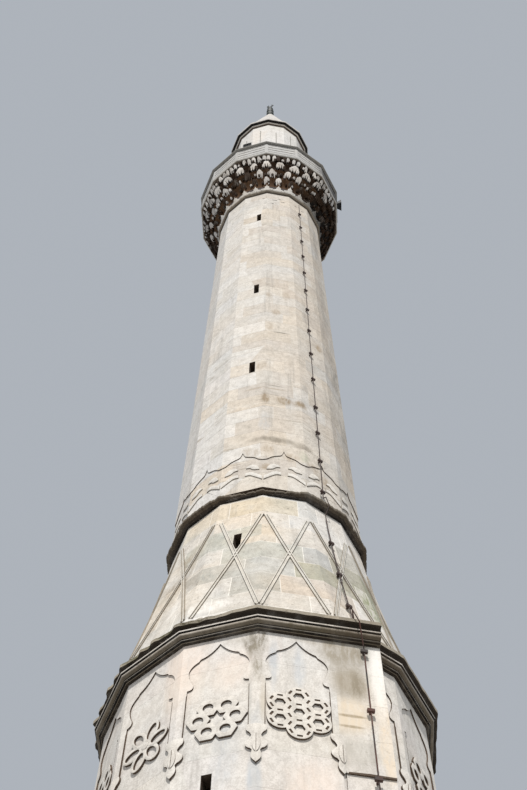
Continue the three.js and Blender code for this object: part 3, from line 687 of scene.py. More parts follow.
# Painted shade: the parapet's faces 2 and 3, which turn away from the lamp, are laid dark.
PARAPET_SHADE_MARKS = [
    (SHADY, 0.9, 2, 0.05, 26.3, 0.68, 1.3, 0.15), (SHADY, 0.9, 3, 0.0, 26.3, 0.7, 1.3, 0.15),
]
pedestal_stone = stone("washed pedestal limestone", PEDESTAL_MARKS, PEDESTAL, (0.6, 0.56, 0.5), 0.35,
                       Patches=0.4, Streaks=0.45, Pits=0.15, Beds=0.0)
tie_stone = stone("patched tie limestone", TIE_MARKS, PEDESTAL, (0.66, 0.6, 0.51), 0.5, Patches=0.6,
                  Streaks=0.5, Pits=0.3, Beds=0.5)
storey_stone = stone("patched storey limestone", STOREY_MARKS, STOREY, (0.8, 0.76, 0.69), 0.85, Patches=0.9,
                     Streaks=0.35, Pits=0.4, Beds=0.55)
shaft_stone = stone("pale shaft limestone", SHAFT_MARKS, SHAFT, (0.62, 0.57, 0.49), 0.5, Patches=0.45,
                    Streaks=0.4, Pits=0.3, Beds=0.8)
drum_stone = stone("pale drum limestone", DRUM_MARKS, DRUM, (0.45, 0.43, 0.4), 0.6, Patches=0.3,
                   Streaks=0.3, Pits=0.2, Beds=0.1)
plain_stone = stone("carved limestone", base=(0.745, 0.71, 0.655), Patches=0.3, Streaks=0.3, Pits=0.2)
strap_stone = stone("strap limestone", base=(0.67, 0.645, 0.59), Patches=0.6, Streaks=0.4, Pits=0.2)
# Painted shade: a near-black stone for the faces that look into a wall or a carving, its steps, reveals and
# undersides.
painted_shade_stone = stone("painted shade return limestone", base=(0.11, 0.078, 0.055), grime_colour=(0.02, 0.015, 0.01),
                    Patches=0.5, Streaks=0.0, Grime=0.1, Pits=0.2, Beds=0.0, Wash=0.0)
# Painted shade, lighter: a brown for the side faces of the frieze's ribbons and of the straps' fillets.
shaded_side_stone = stone("brown painted shade limestone", base=(0.3, 0.265, 0.215), Patches=0.5, Streaks=0.0, Pits=0.2,
                   Beds=0.0, Wash=0.0)
moulded_stone = stone("stained and shaded moulding limestone", MOULDING_MARKS, PEDESTAL, bump=0.01,
                      grime_colour=(0.06, 0.045, 0.03), Patches=0.6, Streaks=0.3, Grime=0.12, Pits=0.5,
                      Beds=0.0, Wash=0.1)
collar_stone = stone("grey collar limestone", bump=0.008, grime_colour=(0.06, 0.05, 0.04), Patches=0.6,
                     Streaks=0.5, Grime=0.05, Pits=0.4, Wash=0.1)
soot_and_shade_stone = stone("stained and shaded niche limestone", bump=0.012, shine=0.05, grime_colour=(0.012, 0.009, 0.008),
                   Patches=0.8, Streaks=0.0, Grime=0.12, Pits=0.5, Wash=0.0)
washed_stone = stone("rain-washed limestone", bump=0.01, shine=0.05, grime_colour=(0.05, 0.038, 0.03),
                     Patches=0.5, Streaks=0.5, Grime=0.04, Pits=0.9, Wash=0.0)
parapet_stone = stone("grey parapet limestone", PARAPET_SHADE_MARKS, PARAPET_LINE, base=(0.52, 0.515, 0.5),
                      grime_colour=(0.14, 0.13, 0.12), Patches=0.4, Streaks=0.6, Grime=0.0, Pits=0.3)
flat_stone = stone("plinth limestone", base=(0.62, 0.58, 0.52), Patches=0.6, Streaks=0.4, Pits=0.3)
# Soot and painted shade for the underside of the spire's eaves and its inside.
soot_and_shade_soffit_stone = stone("stained and shaded soffit limestone", base=(0.012, 0.01, 0.009), Patches=0.2, Streaks=0.0,
                     Pits=0.0, Beds=0.0, Wash=0.0)
print("the shaft has", len(SHAFT_MARKS), "marks")

# %% [markdown]
# The metals: copper gone dark green and brown, rusted iron, and dull paint. Each is a colour broken up by
# noise, with a roughness that follows the same noise.

# %% Metal finishes


def metal(name, colours, scale, roughness, metallic=0.1, bump=0.002):
    """A metal or painted finish: two colours parted by noise."""
    material = bpy.data.materials.new(name)
    material.use_nodes = True
    tree = material.node_tree
    skin = tree.nodes["Principled BSDF"]
    cloud = noise(tree, scale, 6.0, rough=0.65)
    dull, bright = [(*colour, 1) for colour in colours]
    tree.links.new(mixed(tree, between(tree, cloud, 0.38, 0.62), dull, bright), skin.inputs["Base Color"])
    tree.links.new(between(tree, cloud, 0.3, 0.7, *roughness), skin.inputs["Roughness"])
    skin.inputs["Metallic"].default_value = metallic
    relief = wire(tree, "ShaderNodeBump", {"Height": noise(tree, scale * 6, 4.0), "Distance": bump})
    tree.links.new(relief.outputs[0], skin.inputs["Normal"])
    return material


copper = metal("dark weathered copper", [(0.004, 0.006, 0.005), (0.024, 0.035, 0.028)], 14, (0.6, 0.8))
iron = metal("dark weathered iron", [(0.035, 0.026, 0.024), (0.075, 0.045, 0.036)], 40, (0.7, 0.95))
rust = metal("rusted iron", [(0.035, 0.029, 0.026), (0.1, 0.045, 0.033)], 5, (0.7, 0.95))
paint = metal("dull dark paint", [(0.012, 0.013, 0.015), (0.03, 0.03, 0.032)], 30, (0.5, 0.7), metallic=0.0)
print("finishes:", len(bpy.data.materials))

# %% [markdown]
# Most carvings on this tower are flat cut-outs that stand a little proud of the wall, or a little into it.
# A filled curve does that best: its outline is drawn once as points, further outlines inside it become holes,
# and extrude gives it thickness. It is made a mesh before it goes to its place.

# %% Flat shapes


def flat_shape(name, loops, back, front, soften=0.0):
    """A plate between two distances from the wall, from closed outlines of (x, y) points."""
    drawing = bpy.data.curves.new(name, "CURVE")
    drawing.dimensions = "2D"
    drawing.fill_mode = "BOTH"
    drawing.extrude = (front - back) / 2 - soften
    drawing.bevel_depth = soften
    drawing.bevel_resolution = 1
    for loop in loops:
        line = drawing.splines.new("POLY")
        line.points.add(len(loop) - 1)
        for point, (x, y) in zip(line.points, loop):
            point.co = (x, y, 0, 1)
        line.use_cyclic_u = True
    pick_only(shown(name, drawing))
    bpy.ops.object.convert(target="MESH")
    shape = bpy.context.object
    shape.data.transform(Matrix.Translation((0, 0, (front + back) / 2)))
    return shape


def mirrored(points):
    """A right half followed by its mirror image, as one closed outline."""
    return list(points) + [(-x, y) for x, y in reversed(points) if abs(x) > 1e-6]


def polygon(x, y, radius, sides, turn=0.0, flatten=1.0):
    return [(x + radius * math.cos(2 * math.pi * i / sides + turn),
             y + radius * flatten * math.sin(2 * math.pi * i / sides + turn)) for i in range(sides)]


def smoothed(points, rounds=2):
    """Cuts the corners of an open line, so a few points give a curve."""
    for _ in range(rounds):
        line = [points[0]]
        for (x0, y0), (x1, y1) in zip(points, points[1:]):
            line += [(x0 + (x1 - x0) * share, y0 + (y1 - y0) * share) for share in (0.25, 0.75)]
        points = line + [points[-1]]
    return points


# %% [markdown]
# The foot of the shaft has a frieze. On every face the wall steps back 11 mm under an ogee head, and ribbons
# and leaves are left standing in the recess. The recess is cut from the wall with one boolean before the wall
# is sawn, so the joints run through it, as they do on the real stone.

# %% Recess of the frieze
FRIEZE_DEPTH = 0.011
frieze_half = 1.156 * math.sin(STEP / 2) + 0.004
head = [(frieze_half, 12.9), (0.2, 12.93), (0.15, 13.0), (0.07, 13.04), (0.03, 13.06), (0.012, 13.12)]
recess_outline = mirrored([(frieze_half, 12.2)] + smoothed(head) + [(0, 13.165)])


def cutter_for(outlines, line, depth, name):
    """One solid to cut from a wall: (face, outline) pairs sunk to a depth."""
    tools = [onto_face(flat_shape(name, [outline], -depth, 0.05), face, line) for face, outline in outlines]
    return turned_outwards(joined(tools, name))


def box_outline(x, y, width, height):
    left, right = x - width / 2, x + width / 2
    return [(left, y), (right, y), (right, y + height), (left, y + height)]


recesses = [(face, recess_outline) for face in range(SIDES)]

# Small dark putlog slots near the top of the shaft, each as face, u, z, width and height.
SLOTS = [
    (0, -0.07, 23.95, 0.1, 0.03), (0, -0.12, 23.7, 0.05, 0.026), (0, 0.1, 23.9, 0.09, 0.026),
    (-1, 0.16, 24.05, 0.05, 0.024), (1, -0.076, 24.0, 0.05, 0.026), (1, 0.098, 23.97, 0.05, 0.026),
    (0, 0.03, 24.08, 0.07, 0.024),
]
slots = [(face, box_outline(u, z, width, height)) for face, u, z, width, height in SLOTS]
CUTTERS = {
    "shaft_lower": cutter_for(recesses, SHAFT, FRIEZE_DEPTH, "frieze_cutter"),
    "shaft_upper": cutter_for(slots, SHAFT, 0.04, "slot_cutter"),
}

# %% [markdown]
# Every wall goes through the saw. The pedestal's joints are fine, those of the spreading storey are open, and
# the rest lie between. What looks into a wall gets a near-black stone, painted shade for its reveals and
# steps.

# %% Walls
FINE, PLAIN, OPEN = (0.002, 0.0012), (0.0035, 0.002), (0.006, 0.002)
WALLS = [
    ("base_moulding", PEDESTAL_STONES, pedestal_stone, PLAIN),
    ("pedestal_lower", PEDESTAL_STONES, pedestal_stone, FINE),
    ("pedestal_middle", PEDESTAL_STONES, pedestal_stone, FINE),
    ("pedestal_upper", PEDESTAL_STONES, pedestal_stone, FINE),
    ("panel_course", PEDESTAL_STONES, pedestal_stone, FINE),
    ("spreading_storey", STOREY_STONES, storey_stone, OPEN),
    ("shaft_lower", SHAFT_STONES, shaft_stone, PLAIN), ("shaft_middle", SHAFT_STONES, shaft_stone, PLAIN),
    ("shaft_upper", SHAFT_STONES, shaft_stone, PLAIN), ("drum_lower", LEFT_STONES, drum_stone, PLAIN),
    ("drum_upper", LEFT_STONES, drum_stone, PLAIN), ("spire", SPIRE_STONES, drum_stone, PLAIN),
]
for node, stones, material, joint in WALLS:
    wall = sawn_wall(node, stones, joint, cutter=CUTTERS.get(node))
    # Inward faces get painted shade. Under the spire they get painted shade and soot.
    inside = soot_and_shade_soffit_stone if node == "spire" else painted_shade_stone
    finished(wall, material, [node], hidden=inside, is_hidden=faces_inwards)
for node in ("tie_wall", "tie_wall_facing"):
    wall = sawn_wall(node, PEDESTAL_STONES, PLAIN, bonds=(2.0, 3.0, 1.2), only_face=0)
    finished(wall, tie_stone, [node], hidden=painted_shade_stone, is_hidden=faces_inwards)

for cutter in CUTTERS.values():
    bpy.data.objects.remove(cutter)

# %% [markdown]
# Ribbons and leaves stand in the recess: two ribbons that rise to the middle of the face, and a leaf over
# each. Their lower edges throw the dark lines that the eye reads from the ground.

# %% Frieze
ribbon = smoothed([(0.04, 12.6), (0.1, 12.6), (0.15, 12.55), (0.2, 12.5), (0.245, 12.45)]) + smoothed(
    [(0.243, 12.52), (0.2, 12.57), (0.15, 12.63), (0.1, 12.66), (0.045, 12.655)])
leaf = smoothed([(0.05, 12.77), (0.1, 12.765), (0.13, 12.715), (0.175, 12.7), (0.21, 12.69)]) + smoothed(
    [(0.2, 12.74), (0.17, 12.8), (0.12, 12.83), (0.07, 12.81)])
parts = [flat_shape("frieze_part", [[(sign * x, y) for x, y in outline]], -FRIEZE_DEPTH - 0.004, 0.0, 0.002)
         for outline in (ribbon, leaf) for sign in (1, -1)]
motif = joined(parts, "frieze_motif")
frieze = joined([onto_face(copied(motif), face, SHAFT) for face in range(SIDES)], "shaft_frieze", [motif])
# The side faces of the ribbons and leaves are painted a darker brown as shade.
finished(turned_outwards(frieze), plain_stone, smooth=30, hidden=shaded_side_stone,
         is_hidden=faces_inwards)

# %% [markdown]
# Three rosettes stand in the visible panels: seven rings with small slots between them, six rings round a
# middle in the shape of a star, and a flower of six looped petals. Each is a pierced plate 21 mm thick. The
# other faces repeat the three in turn.

# %% Rosettes
RELIEF = 0.021


def ring_centres(distance, turn):
    """The middle, and six places round it."""
    return [(0.0, 0.0)] + polygon(0.0, 0.0, distance, 6, turn)


def slotted_rosette():
    """Seven rings in one round-lobed outline. Each has six slots, and shares those towards the others."""
    spread, lobe, slot = 0.178, 0.107, (0.05, 0.023)
    outline = []
    for i in range(120):
        angle = 2 * math.pi * i / 120
        lean = (angle - math.pi / 2 + math.pi / 6) % (math.pi / 3) - math.pi / 6
        reach = spread * math.cos(lean) + math.sqrt(max(lobe ** 2 - (spread * math.sin(lean)) ** 2, 0))
        outline.append((reach * math.cos(angle), reach * math.sin(angle)))
    loops = [outline]
    cut = {}
    for x, y in ring_centres(spread, math.pi / 2):
        loops.append(polygon(x, y, 0.05, 6, 0))
        for k in range(6):
            angle = math.pi / 2 + k * math.pi / 3
            far = math.hypot(x + spread * math.cos(angle), y + spread * math.sin(angle)) > spread + 0.01
            middle = 0.08 if far else spread / 2
            cx, cy = x + middle * math.cos(angle), y + middle * math.sin(angle)
            cut[(round(300 * cx + 0.2), round(300 * cy + 0.2))] = (cx, cy, angle)
    for cx, cy, angle in cut.values():
        along, across = (-math.sin(angle), math.cos(angle)), (math.cos(angle), math.sin(angle))
        loops.append([(cx + along[0] * a * slot[0] + across[0] * b * slot[1],
                       cy + along[1] * a * slot[0] + across[1] * b * slot[1])
                      for a, b in ((-0.5, -0.5), (0.5, -0.5), (0.5, 0.5), (-0.5, 0.5))])
    # Small floors sunk in the slots take the painted shade stone, so that the slots read dark.
    floor = flat_shape("rosette_part", [loop for loop in loops if len(loop) == 4], -0.004, RELIEF - 0.006)
    return [flat_shape("rosette_part", loops, -0.004, RELIEF, 0.002), floor]


def hexagon_reach(x, y, half_width, angle):
    """Where a ray from the middle goes into a flat-topped hexagon and out of it, if it meets it."""
    out, into = 9.0, 0.0
    for k in range(6):
        side = math.pi / 6 + k * math.pi / 3
        speed = math.cos(angle - side)
        room = half_width + x * math.cos(side) + y * math.sin(side)
        if speed > 1e-6:
            out = min(out, room / speed)
        elif speed < -1e-6:
            into = max(into, room / speed)
    return (into, out) if out > into else None


def honeycomb_rosette():
    """Six rings in one outline of joined hexagons, round a middle left open in the shape of a star."""
    spread, half_width = 0.154, 0.1 * math.cos(math.pi / 6)
    outline, star = [], []
    for i in range(180):
        angle = 2 * math.pi * i / 180
        hits = [hexagon_reach(x, y, half_width, angle) for x, y in ring_centres(spread, 0)[1:]]
        near, far = min(hit[0] for hit in hits if hit), max(hit[1] for hit in hits if hit)
        outline.append((far * math.cos(angle), far * math.sin(angle)))
        star.append((near * math.cos(angle), near * math.sin(angle)))
    loops = [outline, star] + [polygon(x, y, 0.048, 20, 0) for x, y in ring_centres(spread, 0)[1:]]
    return [flat_shape("rosette_part", loops, -0.004, RELIEF, 0.002)]


def petal_rosette():
    """Six looped petals round a button. Every other petal is a millimetre lower, so none share a front."""
    parts = []
    outer, inner = polygon(0.138, 0, 0.107, 28, 0, 0.68), polygon(0.143, 0, 0.082, 24, 0, 0.56)
    for k in range(6):
        petal = flat_shape("rosette_part", [outer, inner], -0.004, RELIEF - 0.001 * (k % 2), 0.002)
        petal.data.transform(Matrix.Rotation(k * math.pi / 3 + 0.12, 4, "Z"))
        parts.append(petal)
    parts.append(flat_shape("rosette_part", [polygon(0, 0, 0.036, 16)], -0.004, RELIEF + 0.003, 0.002))
    return parts


ROSETTES = [(slotted_rosette, 0.006, 8.3), (petal_rosette, 0.005, 8.275), (honeycomb_rosette, 0.007, 8.265)]
rosettes = []
for number, (shape, x, y) in enumerate(ROSETTES):
    model = joined(shape(), "rosette_model")
    model.data.transform(Matrix.Translation((x, y, 0)))
    for face in range(SIDES):
        kind = {0: 0, -1: 2, -2: 1}.get(face if face < 12 else face - SIDES, face % 3)
        if kind == number and face != 1:
            rosettes.append(onto_face(copied(model), face, PEDESTAL))
    bpy.data.objects.remove(model)


def is_painted_shade(face):
    """True for the faces painted with shade: the steps of a carving, and its small flat floors, which lie a
    little behind the front.
    """
    number = face_number(face.center)
    out = face.center.dot(face_directions(number)[1]) - wall_distance(PEDESTAL, face.center.z)
    small_floor = 0.005 < out < RELIEF - 0.004 and len(face.vertices) <= 4 and face.area < 0.001
    return faces_inwards(face) or small_floor


finished(turned_outwards(joined(rosettes, "panel_rosettes")), plain_stone, smooth=30,
         hidden=painted_shade_stone, is_hidden=is_painted_shade)

# %% [markdown]
# The pilasters between the panels end in tassels that wrap round the corners of the tower: half of each
# hangs on one face and half on the next. One half is drawn, mirrored, and copied round.

# %% Tassels
HALF_FACE = PEDESTAL[0][0] * math.sin(STEP / 2)
neck = [(0.074, 8.115), (0.082, 8.085), (0.074, 8.055), (0.05, 8.035), (0.034, 8.0)]
bulb = [(0.036, 7.985), (0.05, 7.965), (0.082, 7.94), (0.086, 7.905), (0.064, 7.875), (0.042, 7.865)]
tip = [(0.026, 7.84), (0.038, 7.8), (0.034, 7.765), (0.014, 7.735), (-0.004, 7.715)]
edge = smoothed(neck, 1) + smoothed(bulb, 1) + smoothed(tip, 1)
spine = smoothed([(0.0, 8.0), (0.02, 7.97), (0.03, 7.9), (0.014, 7.84), (0.0, 7.82)])
tassels = []
# The corner is at the face's edge: side 1 is the face to the right of the corner.
for side in (1, -1):
    outline = [(-side * (HALF_FACE + 0.004), 8.115)] + [(side * (x - HALF_FACE), z) for x, z in edge]
    half = flat_shape("tassel_part", [outline], -0.004, RELIEF, 0.002)
    swelling = [(side * (x - HALF_FACE), z) for x, z in spine]
    ridge = flat_shape("tassel_part", [swelling], RELIEF - 0.004, RELIEF + 0.007, 0.002)
    model = joined([half, ridge], "tassel_model")
    tassels += [onto_face(copied(model), face, PEDESTAL) for face in range(SIDES)]
    bpy.data.objects.remove(model)
# The steps of the tassels are painted dark as shade.
finished(turned_outwards(joined(tassels, "corner_tassels")), plain_stone, smooth=30,
         hidden=painted_shade_stone, is_hidden=faces_inwards)

# %% [markdown]
# Thin dark strips paint the shade along the upright edges of the pilasters and along the ledge of the tie
# wall, where dirt also gathers. Each line is a strip about a millimetre thick. Where the tie wall meets the
# tower its facing has broken away from the corner, and a thin plate with a ragged edge carries the facing up
# to the pilaster;
# its ragged side is painted dark as shade.

# %% Painted shade lines and the broken facing
upright = [(0.2675, 8.12), (0.2675, 8.6), (0.272, 8.59), (0.274, 8.12)]
lines = []
for face in range(SIDES):
    for side in (1, -1):
        strip = flat_shape("shade_line", [[(side * x, z) for x, z in upright]], -0.001, 0.0008)
        lines.append(onto_face(strip, face, PANEL_FRAME))
ledge = [(0.374, 7.7305), (0.374, 7.744), (0.55, 7.751), (0.749, 7.746), (0.749, 7.7305)]
lines.append(onto_face(flat_shape("shade_line", [ledge], -0.001, 0.0015), 0, PANEL_FRAME))
finished(turned_outwards(joined(lines, "panel_shade_lines")), painted_shade_stone)

dice = random.Random(4)
ragged = [(0.283, 8.12), (0.295, 8.07), (0.302, 8.0), (0.322, 7.95), (0.318, 7.9), (0.335, 7.85),
          (0.338, 7.8), (0.352, 7.76), (0.36, 7.735)]
ragged = [(x + dice.uniform(-0.004, 0.004), z) for x, z in smoothed(ragged, 1)]
outline = [(0.328, 9.249), (0.328, 8.12)] + ragged + [(0.374, 7.732), (0.374, 9.249)]
facing = onto_face(flat_shape("broken_facing", [outline], -0.012, 0.0007, 0.0004), 0, PANEL_FRAME)
coloured(facing, PALE)
finished(turned_outwards(facing), tie_stone, hidden=painted_shade_stone, is_hidden=faces_inwards)

# %% [markdown]
# Each face of the spreading storey carries two straps that cross. A strap is a flat band with a thin raised
# fillet along each edge. It is a box, cut across with subdivide so that it can follow the wall, which leans
# back in five slopes, then turned flat to its slant and carried to the face.

# %% Straps
STRAP_TOP, STRAP_FOOT = (0.235, 11.65), (0.315, 9.6)
# How far a strap is out of true at its foot and top, by face and the way it leans.
SET_OUT = {(-1, 1): (0.022, 0.038), (-1, -1): (0.022, 0.03),
           (0, 1): (-0.01, 0.012), (0, -1): (-0.01, 0.006)}


def bar(width, length, back, front, cuts=30):
    """A long thin box, cut across so that it can bend with the wall."""
    bpy.ops.mesh.primitive_cube_add(size=1)
    box = bpy.context.object
    box.data.transform(Matrix.Diagonal((width, length, front - back, 1)))
    box.data.transform(Matrix.Translation((0, 0, (front + back) / 2)))
    edited(box)
    edges_picked(box, lambda edge: abs(edge.verts[0].co.y - edge.verts[1].co.y) > length / 2)
    bpy.ops.mesh.subdivide(number_cuts=cuts)
    closed()
    return box


run_x, run_y = STRAP_FOOT[0] + STRAP_TOP[0], STRAP_TOP[1] - STRAP_FOOT[1]
strap_length = math.hypot(run_x, run_y)
straps = []
for sign in (1, -1):
    # The straps that lean one way stand 2 mm higher than the others, so none share a front.
    parts = [bar(0.042, strap_length, -0.004, 0.005 + 0.001 * sign)]
    for side in (1, -1):
        parts.append(bar(0.01, strap_length, -0.004, 0.016 + 0.001 * sign))
        parts[-1].data.transform(Matrix.Translation((side * 0.0165, 0, 0)))
    strap = joined(parts, "strap_model")
    strap.data.transform(Matrix.Rotation(sign * math.atan2(run_x, run_y), 4, "Z"))
    middle = (STRAP_TOP[1] + STRAP_FOOT[1]) / 2
    strap.data.transform(Matrix.Translation((sign * (STRAP_FOOT[0] - STRAP_TOP[0]) / 2, middle, 0)))
    for face in range(-6, SIDES - 6):
        set_out = copied(strap)
        at_foot, at_top = SET_OUT.get((face, sign), (0, 0))
        for vertex in set_out.data.vertices:
            height = (vertex.co.y - STRAP_FOOT[1]) / run_y
            vertex.co.x += at_foot + (at_top - at_foot) * height
        straps.append(onto_face(set_out, face, STOREY))
    bpy.data.objects.remove(strap)
# The side faces of the fillets are painted a darker brown as shade.
finished(joined(straps, "crossed_straps"), strap_stone, hidden=shaded_side_stone,
         is_hidden=faces_inwards)

# %% [markdown]
# The cornice, the rings and the eaves are run mouldings: one profile carried round the fourteen sides. Each
# profile is drawn as a line of points, made a mesh, and spun in fourteen steps, which leaves flat runs
# between sharp mitres, just as the stones are cut. The runs are then cut across, so that a worn edge can be
# broken and moss can swell on it.

# %% Run mouldings


def spun(name, outline, steps, start=0.0, is_loop=False):
    """A profile of (radius, height) points carried round the axis in steps, and left in edit mode."""
    count = len(outline)
    profile = bpy.data.meshes.new(name)
    corners = [(r * math.sin(start), -r * math.cos(start), z) for r, z in outline]
    profile.from_pydata(corners, [(i, (i + 1) % count) for i in range(count if is_loop else count - 1)], [])
    ring = shown(name, profile)
    edited(ring)
    bpy.ops.mesh.spin(steps=steps, angle=2 * math.pi, center=(0, 0, 0), axis=(0, 0, 1))
    bpy.ops.mesh.select_all(action="SELECT")
    bpy.ops.mesh.remove_doubles(threshold=0.0001)
    bpy.ops.mesh.normals_make_consistent(inside=False)
    return ring


def runs_along_side(edge):
    """True for an edge that runs along a side of the plan, and not across the profile."""
    a, b = edge.verts[0].co, edge.verts[1].co
    level = abs(a.z - b.z) < 1e-5
    return level and abs(math.hypot(a.x, a.y) - math.hypot(b.x, b.y)) < 1e-4 and (a - b).length > 0.1


def band_colour(face, bands):
    """The colour of the highest band that begins below the middle of a face."""
    return [colour for height, colour in bands if height <= face.center.z][-1]


def run_moulding(name, outline, bands, cuts=0):
    """A closed profile of (corner radius, height) points, spun round the plan.

    Each band is the height where a colour begins, and that colour.
    """
    ring = spun(name, outline, SIDES, STEP / 2, True)
    if cuts:
        edges_picked(ring, runs_along_side)
        bpy.ops.mesh.subdivide(number_cuts=cuts)
    closed()
    return coloured(ring, lambda face: band_colour(face, bands))


def side_place(point):
    """The side a point is on and how far along it, from the middle."""
    number = face_number(point)
    return (number if number < 7 else number - SIDES), point.dot(face_directions(number)[0])


def scroll(r0, z0, r1, z1, steps=5, hollow=False):
    """A quarter round (or a quarter hollow) from one point of a profile to the next."""
    line = []
    for i in range(steps + 1):
        t = math.pi / 2 * i / steps
        a, b = (1 - math.cos(t), math.sin(t)) if hollow else (math.sin(t), 1 - math.cos(t))
        line.append((r0 + (r1 - r0) * a, z0 + (z1 - z0) * b))
    return line


# The two darkest colours here paint shade on the undersides, undercuts and hollows of the run mouldings.
BLACK, UNDERSIDE_SHADE = (0.012, 0.009, 0.007), (0.035, 0.026, 0.018)
CORNICE = (
    [(0.801, 9.2502), (1.519, 9.2502), (1.548, 9.2504), (1.551, 9.252), (1.551, 9.261), (1.546, 9.263),
     (1.546, 9.266), (1.57, 9.268), (1.57, 9.28), (1.564, 9.283), (1.564, 9.286)]
    + scroll(1.574, 9.288, 1.607, 9.318) + scroll(1.607, 9.319, 1.597, 9.331, hollow=True)
    + [(1.597, 9.334), (1.62, 9.336), (1.622, 9.35), (1.606, 9.353), (1.606, 9.357)]
    + scroll(1.608, 9.359, 1.65, 9.398, hollow=True)
    + [(1.655, 9.401), (1.655, 9.443), (1.648, 9.453), (1.57, 9.4985), (0.801, 9.4985)]
)
# Most dark bands of the cornice are painted shade: under each fillet, on its underside and in the big hollow,
# and the round darkens towards its underside. The browns of the top slab are stain and moss.
CORNICE_BANDS = [
    (9.0, UNDERSIDE_SHADE), (9.2503, (0.2, 0.165, 0.12)), (9.261, BLACK), (9.268, (0.5, 0.45, 0.38)), (9.28, BLACK),
    (9.288, (0.16, 0.135, 0.1)), (9.298, (0.32, 0.28, 0.225)), (9.31, (0.52, 0.475, 0.41)),
    (9.319, (0.44, 0.39, 0.33)), (9.331, BLACK), (9.336, (0.66, 0.62, 0.56)), (9.35, BLACK), (9.358, UNDERSIDE_SHADE),
    (9.396, (0.05, 0.038, 0.026)), (9.401, (0.36, 0.32, 0.255)), (9.444, (0.4, 0.365, 0.3)),
]
CORNICE_SIDE = 0.74  # About the length of one side of the cornice.
cornice = run_moulding("cornice_moulding", CORNICE, CORNICE_BANDS, cuts=44)


def lumpiness(seed, low, high, count):
    """How far a broken edge swells along its run: a sum of sines of different lengths."""
    dice = random.Random(seed)
    waves = [(dice.uniform(low, high), dice.uniform(0, 6.28), dice.uniform(0.3, 1)) for _ in range(count)]
    return lambda run: sum(weight * math.sin(pace * run + shift) for pace, shift, weight in waves)


def wear_cornice(piece):
    """Breaks the top slab away on the left sides and swells moss on it."""
    lumps = lumpiness(5, 5, 34, 9)
    for vertex in piece.data.vertices:
        side, u = side_place(vertex.co)
        r = math.hypot(vertex.co.x, vertex.co.y)
        if vertex.co.z < 9.355 or r < 1.45:
            continue
        run = side + u / CORNICE_SIDE
        lump = lumps(run) / 4
        broken = min(max((-0.8 - run) / 0.15, 0.12), 1) if run > -6.6 else 0.12
        if r > 1.59:
            bite = max(0.0, 0.03 + 0.05 * lump) * broken
            vertex.co -= outward_of(vertex.co) * bite * (1 if vertex.co.z > 9.4 else 0.6)
            vertex.co.z += bite * 0.4 if vertex.co.z < 9.41 else 0
        if vertex.co.z > 9.44 and r > 1.5:
            vertex.co.z += max(-0.004, 0.016 + 0.045 * lump) * broken
    piece.data.update()


wear_cornice(cornice)
finished(cornice, moulded_stone, ["lower_cornice"], smooth=28)

RING = (
    [(0.801, 12.1502), (1.118, 12.1502), (1.132, 12.152), (1.134, 12.162)]
    + scroll(1.14, 12.166, 1.19, 12.196, hollow=True)
    + [(1.197, 12.2), (1.2, 12.21), (1.2, 12.244), (1.194, 12.254), (1.176, 12.266), (1.156, 12.2785),
       (0.801, 12.2785)]
)
# The ring is dark from lichen and from painted shade: black underneath and less dark towards its top.
RING_BANDS = [(12.0, BLACK), (12.16, (0.045, 0.034, 0.025)), (12.19, (0.1, 0.08, 0.058)),
              (12.225, (0.16, 0.135, 0.1))]
RING_SIDE = 0.5  # About the length of one side of the ring.
ring = run_moulding("middle_ring_moulding", RING, RING_BANDS, cuts=40)


def wear_ring(piece):
    """Wears the ring back on two sides, and makes its upper edge ragged."""
    lumps = lumpiness(3, 15, 95, 8)
    for vertex in piece.data.vertices:
        side, u = side_place(vertex.co)
        worn_off = min(max(1.3 - abs(side + u / RING_SIDE + 0.6), 0), 1)
        r = math.hypot(vertex.co.x, vertex.co.y)
        if r > 1.15 * FLAT:
            vertex.co -= outward_of(vertex.co) * 0.055 * worn_off
        if vertex.co.z > 12.22 and r > 1.1 * FLAT:
            vertex.co.z -= 0.02 * worn_off
        if 12.19 < vertex.co.z < 12.3 and math.hypot(vertex.co.x, vertex.co.y) >= 0.95:
            side, u = side_place(vertex.co)
            lump = lumps(side + u / RING_SIDE) / 3
            vertex.co += outward_of(vertex.co) * 0.014 * min(lump, 0.0)
            vertex.co.z += 0.012 * max(lump, 0.0)
    piece.data.update()


wear_ring(ring)
finished(ring, moulded_stone, ["middle_ring"], smooth=28)

COLLAR = (
    [(0.801, 24.4202), (1.066, 24.4202), (1.082, 24.421), (1.084, 24.43)]
    + scroll(1.088, 24.434, 1.118, 24.454) + [(1.12, 24.46), (1.12, 24.478), (1.108, 24.482)]
    + scroll(1.108, 24.486, 1.096, 24.51, hollow=True) + [(1.094, 24.5185), (0.801, 24.5185)]
)
COLLAR_BANDS = [(24.0, (0.1, 0.08, 0.06)), (24.432, (0.26, 0.225, 0.18)), (24.456, (0.2, 0.17, 0.13)),
                (24.48, (0.12, 0.1, 0.075)), (24.486, (0.62, 0.58, 0.52))]
finished(run_moulding("collar_moulding", COLLAR, COLLAR_BANDS), collar_stone,
         ["shaft_collar"], smooth=28)

EAVES = (
    [(0.691, 31.4002), (0.945, 31.4002), (0.976, 31.404), (0.98, 31.412), (0.98, 31.43), (0.983, 31.434)]
    + scroll(0.984, 31.436, 0.998, 31.452) + [(1.0, 31.458), (1.0, 31.4985), (0.691, 31.4985)]
)
EAVES_BANDS = [(31.0, (0.09, 0.062, 0.045)), (31.412, (0.45, 0.41, 0.36)), (31.43, (0.66, 0.62, 0.56))]
finished(run_moulding("eaves_moulding", EAVES, EAVES_BANDS), collar_stone,
         ["eaves_band"], smooth=28)

# %% [markdown]
# The wedge of wall beside the tower carries the cornice on in a straight run. Its profile is the same one,
# drawn as a flat shape and made as long as the run, with its hidden end cut back to the slant where it meets
# the tower's own cornice.

